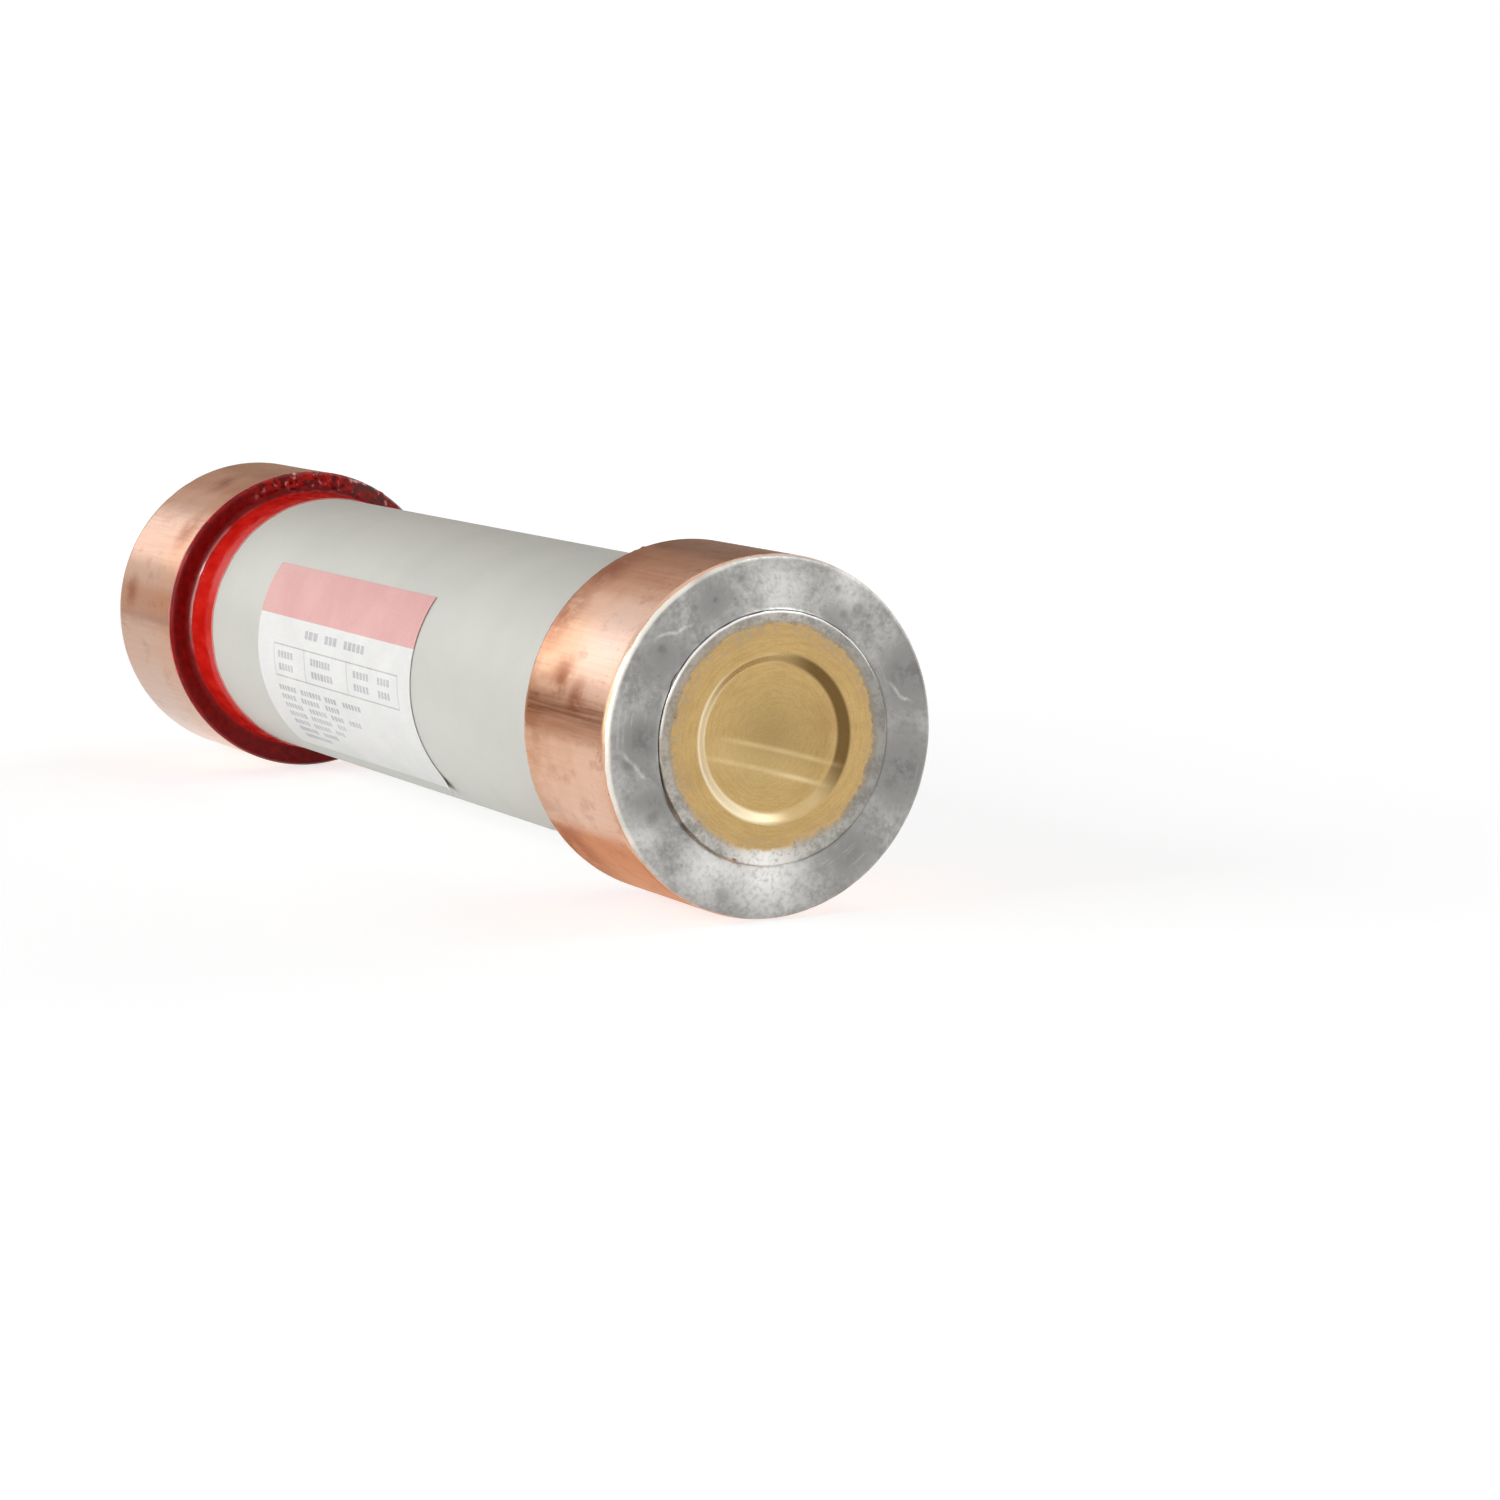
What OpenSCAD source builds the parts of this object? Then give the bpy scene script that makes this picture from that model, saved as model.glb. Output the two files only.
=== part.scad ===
// Sand-filled high-voltage cartridge fuse-link, lying along X with its front end at +X.
// Every round piece is drawn about Z, measured outwards from the middle, and then laid along X.

/* [Overall] */
// Length over the two tinned end faces
overall_len = 212; // [190:1:260]

/* [Porcelain tube] */
// Outer diameter of the tube
tube_d = 46.3; // [42:0.1:52]
// Wall of the tube
tube_wall = 6; // [4.5:0.25:7]
// Chamfer on the edges of the tube's ends
tube_chamfer = 0.8; // [0.3:0.1:1.5]

/* [End caps] */
// Length of a cap, from its mouth to the tinned face
cap_len = 28.75; // [22:0.25:36]
// Wall of the cap's skirt
cap_wall = 1.8; // [1:0.1:3]
// Cement between the skirt and the tube
cement_t = 2.55; // [1.5:0.05:4]
// Rounding of the cap's outer edge
cap_edge_r = 1.2; // [0.5:0.1:2]
// Rounding of the cap's mouth
cap_mouth_r = 0.35; // [0.1:0.05:0.8]
// Width of the tinned ring around the closing disc
face_w = 8.3; // [6:0.1:10]
// Thickness of the tinning on the end face
tin_t = 0.4; // [0.2:0.05:0.8]

/* [Closing discs] */
// Sheet thickness of a closing disc
disc_t = 1; // [0.6:0.05:1.4]
// Rim of the disc that lies on the cap's end, around the filling port
lap_w = 2.4; // [1.5:0.1:4]
// Flat rim around the pressed dish
disc_rim_w = 6.15; // [5:0.05:8]
// Slanting wall of the dish, measured along the radius
dish_wall_w = 1.35; // [0.8:0.05:2.5]
// Depth of the dish
dish_depth = 1.2; // [0.5:0.05:2]
// Width of the solder run over the disc's rim
run_w = 2.3; // [1:0.1:4]
// Thickness of the solder run on the rim
run_t = 0.15; // [0.1:0.05:0.4]
// Seam between the disc's edge and the tinned ring, which the solder fills
seam_w = 0.4; // [0.3:0.05:1]
// Rounding of the solder run's outer edge
run_edge_r = 0.4; // [0.1:0.05:0.45]

/* [Sealing lacquer] */
// Length of the lacquer band on the tube
lacquer_len = 10.5; // [5:0.5:16]
// Thickness of the band
lacquer_t = 0.35; // [0.15:0.05:0.8]
// Thickness of the bead over the cap's mouth
bead_t = 0.45; // [0.3:0.05:1.2]
// Radius of the lacquer's run-out in the corner
bead_fillet_r = 1.2; // [0.5:0.1:2.5]

/* [Contact cups] */
// Gasket between the tube's end and the cup's flange
gasket_t = 1; // [0.5:0.1:2]
// Flange of a contact cup
cup_flange_t = 0.8; // [0.5:0.1:1.5]
// Wall of a contact cup
cup_wall = 1; // [0.6:0.1:1.5]
// Depth of a cup, from its flange's face to its bottom
cup_depth = 12; // [10:0.5:18]
// Floor of a cup
cup_floor_t = 1.2; // [0.8:0.1:2]
// Room between a cup and the tube's bore
cup_room = 1.5; // [1.2:0.1:2.5]
// Diameter of the sand holes in a cup's floor
sand_hole_d = 4; // [2.5:0.1:5]
// Sand holes in a cup's floor
sand_holes = 6; // [3:1:8]

/* [Ceramic core] */
// Room between the rib tips and the tube's bore
winding_room = 5.6; // [5:0.1:7]
// Height of a rib above the core's body
rib_h = 3.8; // [2.5:0.1:4.5]
// Width of a rib
rib_w = 2.4; // [1.5:0.1:3.5]
// Wall of the core's hollow body
core_wall = 2.4; // [1.5:0.1:3]

/* [Fuse strips] */
// Width of a silver strip
strip_w = 2.2; // [1.4:0.1:3]
// Width left at a notch
neck_w = 0.9; // [0.5:0.1:1.3]
// Thickness of a strip
strip_t = 0.25; // [0.15:0.05:0.5]
// Turns of a strip along the core
strip_turns = 4; // [3:1:5]
// Length over which a strip leaves the core for its cup
strip_lead = 8; // [6:0.5:12]
// Run of a strip's welded tail along its cup
tail_len = 6; // [4:0.5:7]
// Base diameter of a tin spot
tin_spot_d = 2; // [1.2:0.1:2.2]
// Height of a tin spot
tin_spot_h = 0.6; // [0.3:0.05:0.9]

/* [Label] */
// Length of the label along the tube
label_len = 67.5; // [40:0.5:90]
// Offset of the label's middle from the tube's middle
label_shift = -9.75; // [-20:0.25:20]
// Angle from the tube's top to the label's upper edge
label_from = 52; // [0:1:120]
// Angle that the label takes up
label_sweep = 115; // [60:1:180]
// Thickness of the label's paper
label_t = 0.15; // [0.08:0.01:0.3]

/* [Clearances] */
// Film between bonded round faces
bond_gap = 0.05; // [0.02:0.01:0.1]
// Room around the core in a cup's floor
core_fit = 0.15; // [0.05:0.05:0.3]
// Room under a pressed dish, down to the cup's flange
dish_room = 1.5; // [0.5:0.1:2.5]
// Room between the winding and the packed sand
sand_room = 0.5; // [0.3:0.05:0.9]

/* [Hidden] */
$fn = 96;
rib_count = 8;
strip_count = 4;
turn = 360;

// Radii, from the tube inwards and outwards
tube_r = tube_d / 2;
bore_r = tube_r - tube_wall;
skirt_r = tube_r + cement_t;
cap_r = skirt_r + cap_wall;
ring_r = cap_r - face_w;
disc_r = ring_r - seam_w;
port_r = disc_r - lap_w;
dish_r = disc_r - disc_rim_w;
dish_floor_r = dish_r - dish_wall_w;
cup_r = bore_r - cup_room;
cup_in_r = cup_r - cup_wall;
rib_r = bore_r - winding_room;
core_r = rib_r - rib_h;
core_bore_r = core_r - core_wall;
core_hole_r = core_r + core_fit;

// Planes of one end, from the end face inwards
end_z = overall_len / 2;
cap_z = end_z - tin_t;
mouth_z = end_z - cap_len;
disc_z = cap_z + disc_t;
cap_in_z = cap_z - dish_depth - dish_room;
flange_z = cap_in_z - cup_flange_t;
tube_z = flange_z - gasket_t;
cup_z = cap_in_z - cup_depth;
rib_z = cup_z - core_fit;
core_z = cup_z + cup_floor_t;

// The strips run straight over the rib tips, so a turn is a polygon with a corner on each rib
rib_angle = turn / rib_count;
face_cos = cos(rib_angle / 2);
strip_in_r = rib_r + bond_gap / face_cos;
strip_out_r = strip_in_r + strip_t / face_cos;
wind_z = cup_z - strip_lead;
strip_faces = strip_turns * rib_count;
face_rise = 2 * wind_z / strip_faces;
face_len = 2 * rib_r * sin(rib_angle / 2);
band_k = norm([face_len, face_rise]) / face_len;
notch_at = [0, 0.36, 0.44, 0.56, 0.64];
notch_w = [strip_w, strip_w, neck_w, neck_w, strip_w];
sand_in_r = strip_out_r + sand_room;
sand_z = wind_z - strip_w;

// A strip's tail climbs onto its cup in one span and then follows the wall in short steps
climb_angle = 60;
tail_angle = 48;
tail_steps = 4;
tail_step = tail_angle / tail_steps;
tail_r = (cup_r + bond_gap) / cos(tail_step / 2);

// Middle of each strip, a quarter of a face past a corner, where its tin spot sits
spot_face = strip_faces / 2;
spot_at = spot_face + 0.2;

copper = [0.80, 0.52, 0.38];
brass = [0.78, 0.65, 0.41];
tin = [0.66, 0.66, 0.64];
porcelain = [0.80, 0.80, 0.77];
lacquer_red = [0.76, 0.10, 0.08];

// Lays a piece drawn about Z along X
module laid() rotate([0, 90, 0]) children();

// Puts a piece drawn for the upper end at the front or, mirrored, at the rear
module at_front() laid() children();
module at_rear() laid() mirror([0, 0, 1]) children();

// A rectangle in the plane of a revolved profile, from its inner lower to its outer upper corner
module profile_box(r0, z0, r1, z1) translate([r0, z0]) square([r1 - r0, z1 - z0]);

// What a round edge of radius r takes off the outer upper corner at [r1, z1]
module edge_waste(r1, z1, r) {
  difference() {
    profile_box(r1 - r, z1 - r, r1 + r, z1 + r);
    translate([r1 - r, z1 - r]) circle(r);
  }
}

module fuse_tube() {
  color(porcelain) laid() rotate_extrude() polygon([
    [bore_r + tube_chamfer, -tube_z], [tube_r - tube_chamfer, -tube_z], [tube_r, tube_chamfer - tube_z],
    [tube_r, tube_z - tube_chamfer], [tube_r - tube_chamfer, tube_z], [bore_r + tube_chamfer, tube_z],
    [bore_r, tube_z - tube_chamfer], [bore_r, tube_chamfer - tube_z]
  ]);
}

// Paper label on the side of the tube, turned down from its top towards -Y
module rating_label() {
  paper_r = tube_r + bond_gap;
  color([0.95, 0.90, 0.90]) laid() rotate(180 + label_from) rotate_extrude(angle = label_sweep)
    profile_box(paper_r, label_shift - label_len / 2, paper_r + label_t, label_shift + label_len / 2);
}

// Copper cup with round edges and a port in its end that the sand is filled through
module end_cap() {
  color(copper) rotate_extrude() difference() {
    profile_box(port_r, mouth_z, cap_r, cap_z);
    profile_box(0, mouth_z - 1, skirt_r, cap_in_z);
    edge_waste(cap_r, cap_z, cap_edge_r);
    mirror([0, 1]) edge_waste(cap_r, -mouth_z, cap_mouth_r);
  }
}

// Tinning on the flat of the cap's end, around the closing disc
module tinned_face() {
  color(tin) rotate_extrude() difference() {
    profile_box(ring_r, cap_z, cap_r - cap_edge_r, end_z);
    edge_waste(cap_r - cap_edge_r, end_z, tin_t / 2);
  }
}

// Brass sheet disc that lies on the cap's end, with a dish pressed into the port
module closing_disc() {
  fold = disc_t * tan(atan2(dish_depth, dish_wall_w) / 2);
  color(brass) rotate_extrude() polygon([
    [0, disc_z - dish_depth], [dish_floor_r, disc_z - dish_depth], [dish_r, disc_z], [disc_r, disc_z],
    [disc_r, cap_z], [dish_r + fold, cap_z], [dish_floor_r + fold, cap_z - dish_depth],
    [0, cap_z - dish_depth]
  ]);
}

// Solder run over the disc's rim and down its edge, in the seam beside the tinned ring
module solder_ring() {
  run_z = disc_z + run_t;
  run_r = ring_r - bond_gap;
  color(tin) rotate_extrude() difference() {
    union() {
      profile_box(disc_r - run_w, disc_z, run_r, run_z);
      profile_box(disc_r + bond_gap, cap_z, run_r, run_z);
    }
    edge_waste(run_r, run_z, run_edge_r);
  }
}

module cap_cement() {
  color([0.72, 0.70, 0.65]) rotate_extrude()
    profile_box(tube_r + bond_gap, mouth_z, skirt_r - bond_gap, cap_in_z - bond_gap);
}

// Red lacquer: a band on the tube, a bead over the cap's mouth and a hollow run between them
module sealing_lacquer() {
  band_r = tube_r + bond_gap;
  bead_z = mouth_z - bond_gap;
  bead_r = cap_r - cap_mouth_r;
  color(lacquer_red) rotate_extrude() {
    profile_box(band_r, mouth_z - lacquer_len, band_r + lacquer_t, bead_z);
    difference() {
      profile_box(band_r, bead_z - bead_t, bead_r, bead_z);
      mirror([0, 1]) edge_waste(bead_r, bead_t - bead_z, bead_t / 2);
    }
    difference() {
      corner = [band_r + lacquer_t, bead_z - bead_t];
      profile_box(corner.x, corner.y - bead_fillet_r, corner.x + bead_fillet_r, corner.y);
      translate(corner + [bead_fillet_r, -bead_fillet_r]) circle(bead_fillet_r);
    }
  }
}

module gasket() {
  color([0.35, 0.33, 0.30]) rotate_extrude()
    profile_box(bore_r + tube_chamfer, tube_z, tube_r - tube_chamfer, flange_z);
}

// Flanged copper cup that the strips are welded to; its floor centres the core and lets the sand in
module contact_cup() {
  color(copper) difference() {
    rotate_extrude() {
      profile_box(cup_in_r, flange_z, tube_r, cap_in_z);
      profile_box(cup_in_r, cup_z, cup_r, cap_in_z);
      profile_box(core_hole_r, cup_z, cup_r, cup_z + cup_floor_t);
    }
    for (i = [0 : sand_holes - 1])
      rotate(i * turn / sand_holes)
        translate([(core_hole_r + cup_in_r) / 2, 0, cup_z - 1]) cylinder(d = sand_hole_d, h = cup_floor_t + 2);
  }
}

// Hollow ceramic former with roof-shaped ribs, whose plain ends stand in the two cups
module ceramic_core() {
  color([0.90, 0.88, 0.82]) laid() difference() {
    union() {
      translate([0, 0, -core_z]) cylinder(r = core_r, h = 2 * core_z);
      translate([0, 0, -rib_z]) linear_extrude(2 * rib_z) intersection() {
        circle(rib_r, $fn = rib_count);
        for (i = [0 : rib_count - 1])
          rotate(i * rib_angle) translate([0, -rib_w / 2]) square([rib_r, rib_w]);
      }
    }
    translate([0, 0, -core_z - 1]) cylinder(r = core_bore_r, h = 2 * core_z + 2);
  }
}

// Point on the wound polygon, s faces along it from its first corner
function polygon_point(s, r) =
  let (i = floor(s), t = s - i)
  r * ((1 - t) * [cos(i * rib_angle), sin(i * rib_angle)]
    + t * [cos((i + 1) * rib_angle), sin((i + 1) * rib_angle)]);

function wound_z(s) = s * face_rise - wind_z;

// A cross-section of a strip: inner and outer points at its lower and upper edge
function section(inner, outer, z, h) = [
  [inner.x, inner.y, z - h / 2], [outer.x, outer.y, z - h / 2],
  [outer.x, outer.y, z + h / 2], [inner.x, inner.y, z + h / 2]
];

function wound_section(s, w) =
  section(polygon_point(s, strip_in_r), polygon_point(s, strip_out_r), wound_z(s), w * band_k);

// A section of the tail on the cup, step k past the climb; side is 1 at the front and -1 at the rear
function tail_section(k, side) =
  let (
    from = side > 0 ? strip_faces * rib_angle : 0,
    a = from + side * (climb_angle + k * tail_step),
    z = side * (cup_z - strip_w + k * tail_len / tail_steps),
    dir = [cos(a), sin(a)]
  )
  section(tail_r * dir, (tail_r + strip_t) * dir, z, strip_w * band_k);

// All sections of one strip, from its rear tail to its front tail
function strip_sections() = concat(
  [for (k = [tail_steps : -1 : 0]) tail_section(k, -1)],
  [for (i = [0 : strip_faces - 1]) for (j = [0 : len(notch_at) - 1]) wound_section(i + notch_at[j], notch_w[j])],
  [wound_section(strip_faces, strip_w)],
  [for (k = [0 : tail_steps]) tail_section(k, 1)]
);

// Skin of a bar through four-cornered sections, as triangles
module swept_bar(sections) {
  last = len(sections) - 1;
  sides = [for (i = [0 : last - 1]) for (j = [0 : 3])
    let (a = 4 * i + j, b = 4 * i + (j + 1) % 4)
    each [[a, a + 4, b], [b, a + 4, b + 4]]];
  ends = [[0, 1, 2], [0, 2, 3], [4 * last + 2, 4 * last + 1, 4 * last], [4 * last + 3, 4 * last + 2, 4 * last]];
  polyhedron(points = [for (s = sections) each s], faces = concat(sides, ends));
}

// Notched silver strip wound over the ribs, one of several equal starts
module fuse_strip(start) {
  color([0.85, 0.85, 0.86]) laid() rotate(start * turn / strip_count) swept_bar(strip_sections());
}

// Drops of tin in the middle of the strips, which lower their melting point
module tin_spots() {
  base_r = tin_spot_d / 2;
  ball_r = (base_r * base_r + tin_spot_h * tin_spot_h) / (2 * tin_spot_h);
  seat = polygon_point(spot_at, strip_out_r + bond_gap / face_cos);
  color(tin) laid() for (k = [0 : strip_count - 1])
    rotate(k * turn / strip_count) translate([seat.x, seat.y, wound_z(spot_at)])
      rotate([0, 90, (spot_face + 0.5) * rib_angle]) intersection() {
        translate([0, 0, tin_spot_h - ball_r]) sphere(ball_r);
        cylinder(r = base_r, h = tin_spot_h);
      }
}

// Packed quartz sand between the winding and the tube
module quartz_sand() {
  color([0.86, 0.82, 0.72]) laid() rotate_extrude()
    profile_box(sand_in_r, -sand_z, bore_r - bond_gap, sand_z);
}

fuse_tube();
rating_label();
at_front() end_cap();  // front_end_cap
at_rear() end_cap();  // rear_end_cap
at_front() tinned_face();  // front_tinned_face
at_rear() tinned_face();  // rear_tinned_face
at_front() closing_disc();  // front_closing_disc
at_rear() closing_disc();  // rear_closing_disc
at_front() solder_ring();  // front_solder_ring
at_rear() solder_ring();  // rear_solder_ring
at_front() cap_cement();  // front_cap_cement
at_rear() cap_cement();  // rear_cap_cement
at_front() sealing_lacquer();  // front_sealing_lacquer
at_rear() sealing_lacquer();  // rear_sealing_lacquer
at_front() gasket();  // front_gasket
at_rear() gasket();  // rear_gasket
at_front() contact_cup();  // front_contact_cup
at_rear() contact_cup();  // rear_contact_cup
ceramic_core();
fuse_strip(0);  // fuse_strip_1
fuse_strip(1);  // fuse_strip_2
fuse_strip(2);  // fuse_strip_3
fuse_strip(3);  // fuse_strip_4
tin_spots();
quartz_sand();
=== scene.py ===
# Dresses the cartridge fuse-link: copper caps, tinned ends, brass discs, red lacquer,
# grey porcelain and a paper label. It lies along X with its front end at +X.
# Lengths are in metres.
import math

import bmesh
import bpy
from mathutils import Matrix, Vector, noise


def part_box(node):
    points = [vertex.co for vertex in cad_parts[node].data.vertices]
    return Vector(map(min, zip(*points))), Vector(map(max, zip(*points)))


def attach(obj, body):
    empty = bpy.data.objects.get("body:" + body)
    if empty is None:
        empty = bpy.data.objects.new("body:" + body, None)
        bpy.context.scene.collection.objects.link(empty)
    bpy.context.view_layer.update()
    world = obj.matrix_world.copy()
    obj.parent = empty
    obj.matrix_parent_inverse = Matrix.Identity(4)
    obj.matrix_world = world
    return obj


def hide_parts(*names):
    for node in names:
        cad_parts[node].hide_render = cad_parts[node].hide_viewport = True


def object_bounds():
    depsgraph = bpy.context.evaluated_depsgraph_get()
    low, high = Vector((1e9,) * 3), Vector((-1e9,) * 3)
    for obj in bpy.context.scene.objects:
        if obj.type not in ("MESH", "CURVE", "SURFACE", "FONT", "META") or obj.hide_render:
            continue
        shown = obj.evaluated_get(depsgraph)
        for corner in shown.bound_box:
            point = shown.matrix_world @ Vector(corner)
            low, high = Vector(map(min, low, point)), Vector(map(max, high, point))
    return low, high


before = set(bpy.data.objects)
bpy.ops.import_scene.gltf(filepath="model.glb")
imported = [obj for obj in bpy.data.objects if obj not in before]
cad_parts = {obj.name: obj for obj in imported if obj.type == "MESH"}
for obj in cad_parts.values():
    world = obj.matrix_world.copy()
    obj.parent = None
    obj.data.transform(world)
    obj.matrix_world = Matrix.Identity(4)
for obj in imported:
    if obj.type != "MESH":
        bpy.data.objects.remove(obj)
cad_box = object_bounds()

MM = 0.001
FULL_TURN = 2 * math.pi
AXIS = Vector((1, 0, 0))
REARWARD = (-1, 0, 0)
LABEL_SIDE = (0, -1, 0)
FAR_SIDE = (0, 1, 0)
UPWARD = (0, 0, 1)


# Sizes taken from the model's parts

def radius_of(node):
    """Largest distance of a round node from the fuse-link's axis."""
    low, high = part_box(node)
    return max(high.y, high.z, -low.y, -low.z)


def span_of(node):
    """Where a node starts and ends along the axis."""
    low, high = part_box(node)
    return low.x, high.x


CAP_INSET = 0.05 * MM
CAP_R = radius_of("front_end_cap") - CAP_INSET
TUBE_R = radius_of("fuse_tube")
MOUTH_X, CAP_X = span_of("front_end_cap")
TUBE_X = span_of("fuse_tube")[1]
END_X = span_of("front_tinned_face")[1]
DISC_X = span_of("front_closing_disc")[1]
DISC_R = radius_of("front_closing_disc")
SOLDER_X = span_of("front_solder_ring")[1]
SOLDER_R = radius_of("front_solder_ring")
BAND_X = span_of("front_sealing_lacquer")[0]
LABEL_X = span_of("rating_label")
LABEL_R = radius_of("rating_label")
FLOOR_Z = cad_box[0].z

# Sizes of the pieces' own detail
BORE_R = TUBE_R - 6 * MM
TUBE_CHAMFER = 0.8 * MM
SKIRT_R = CAP_R - 1.75 * MM
PORT_R = 16.4 * MM
RING_R = 19.2 * MM
CAP_INSIDE_X = CAP_X - 2.7 * MM
CAP_EDGE_R = 1.2 * MM
CAP_MOUTH_ROUND = 0.35 * MM
DISH_R = 12.65 * MM
DISH_FLOOR_R = 11.3 * MM
DISH_DEPTH = 1.2 * MM
DISC_T = 1.0 * MM
LABEL_FROM = math.radians(52)
LABEL_SWEEP = math.radians(87.5)
PINK_SWEEP = math.radians(23)


# Camera at the photograph's place

CAMERA_PLACE = Vector((651.57, -291.96, 85.97)) * MM
CAMERA_TILT = math.radians(90 - 8.068)
CAMERA_HEADING = math.radians(62.163)
CAMERA_LENS = 101.006
CAMERA_SENSOR = 36.0
CAMERA_CLIP = 10 * MM


def place_camera():
    data = bpy.data.cameras.new("camera")
    data.lens = CAMERA_LENS
    data.sensor_width = CAMERA_SENSOR
    data.clip_start = CAMERA_CLIP
    camera = bpy.data.objects.new("camera", data)
    camera.location = CAMERA_PLACE
    camera.rotation_euler = (CAMERA_TILT, 0, CAMERA_HEADING)
    bpy.context.scene.collection.objects.link(camera)
    bpy.context.scene.camera = camera


# Mesh helpers

ROUND_STEPS = 6
SECTORS = 20
SHARP_ANGLE = math.radians(38)
MERGE = 0.002 * MM


def around(x, r, angle):
    """Point at distance r from the axis; the angle runs from the top towards -Y."""
    return Vector((x, -r * math.sin(angle), r * math.cos(angle)))


def polar(point):
    """The place along the axis, distance from the axis and angle of a point."""
    return point.x, math.hypot(point.y, point.z), math.atan2(-point.y, point.z)


def turn_between(angle, other):
    """Turn from another angle to an angle, the short way round."""
    return (angle - other + math.pi) % FULL_TURN - math.pi


def grain(point, size, seed):
    """Smooth noise from -1 to 1 with features of about the given size."""
    return noise.noise(point / size + Vector((seed, 2.7 * seed, -1.3 * seed)))


def grains(point, layers, seed):
    """Sum of noises, each given by its strength, its size in millimetres and its step from the seed."""
    return sum(strength * grain(point, size * MM, seed + step) for strength, size, step in layers)


def ease(value, start, end):
    """Rises smoothly from 0 at start to 1 at end."""
    t = min(max((value - start) / (end - start), 0.0), 1.0)
    return t * t * (3 - 2 * t)


def everything(bm):
    return bm.verts[:] + bm.edges[:] + bm.faces[:]


def turned(outline, steps, fine, closed=True):
    """Spins an outline of (x, r, rounding) corners about the axis, in faces no longer than fine."""
    bm = bmesh.new()
    corners = [bm.verts.new(around(x, r, 0)) for x, r, rounding in outline]
    ends = corners[1:] + corners[:1] if closed else corners[1:]
    for start, end in zip(corners, ends):
        bm.edges.new((start, end))
    for size in sorted({corner[2] for corner in outline if corner[2]}):
        picked = [vert for vert, corner in zip(corners, outline) if corner[2] == size]
        bmesh.ops.bevel(bm, geom=picked, offset=size, offset_type="OFFSET", segments=ROUND_STEPS,
                        profile=0.5, affect="VERTICES", material=-1)
    for edge in bm.edges[:]:
        cuts = int(edge.calc_length() / fine)
        if cuts:
            bmesh.ops.subdivide_edges(bm, edges=[edge], cuts=cuts)
    bmesh.ops.spin(bm, geom=everything(bm), cent=(0, 0, 0), axis=AXIS,
                   angle=FULL_TURN / SECTORS, steps=steps // SECTORS)
    bmesh.ops.spin(bm, geom=everything(bm), cent=(0, 0, 0), axis=AXIS,
                   angle=FULL_TURN, steps=SECTORS, use_duplicate=True, use_merge=True)
    bmesh.ops.remove_doubles(bm, verts=bm.verts[:], dist=MERGE)
    return bm


def worked(bm, rule):
    """Moves every vertex as a rule on its place along the axis, radius and angle says."""
    for vert in bm.verts:
        vert.co = around(*rule(*polar(vert.co)))


def placed(bm, name, finishes):
    """Makes an object of a bmesh, with its finishes."""
    mesh = bpy.data.meshes.new(name)
    bm.to_mesh(mesh)
    bm.free()
    for finish in finishes:
        mesh.materials.append(finish)
    piece = bpy.data.objects.new(name, mesh)
    bpy.context.scene.collection.objects.link(piece)
    return piece


def finished(bm, name, node, finishes, at_rear=False):
    """Makes the piece that stands for a node, turned to the rear end if asked."""
    if at_rear:
        bmesh.ops.scale(bm, vec=(-1, 1, 1), verts=bm.verts[:])
    bmesh.ops.recalc_face_normals(bm, faces=bm.faces[:])
    if bm.calc_volume(signed=True) < 0:
        bmesh.ops.reverse_faces(bm, faces=bm.faces[:])
    for face in bm.faces:
        face.smooth = True
    piece = placed(bm, name, finishes)
    piece.data.set_sharp_from_angle(angle=SHARP_ANGLE)
    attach(piece, "root")
    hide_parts(node)
    return piece


# Materials

def colour(red, green, blue):
    """Linear colour of an 8-bit one."""
    def linear(level):
        level /= 255
        return level / 12.92 if level <= 0.04045 else ((level + 0.055) / 1.055) ** 2.4
    return linear(red), linear(green), linear(blue), 1.0


# Sockets of the Mix node for colours
MIX_SHARE, MIX_FIRST, MIX_SECOND, MIX_RESULT = 0, 6, 7, 2


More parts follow.
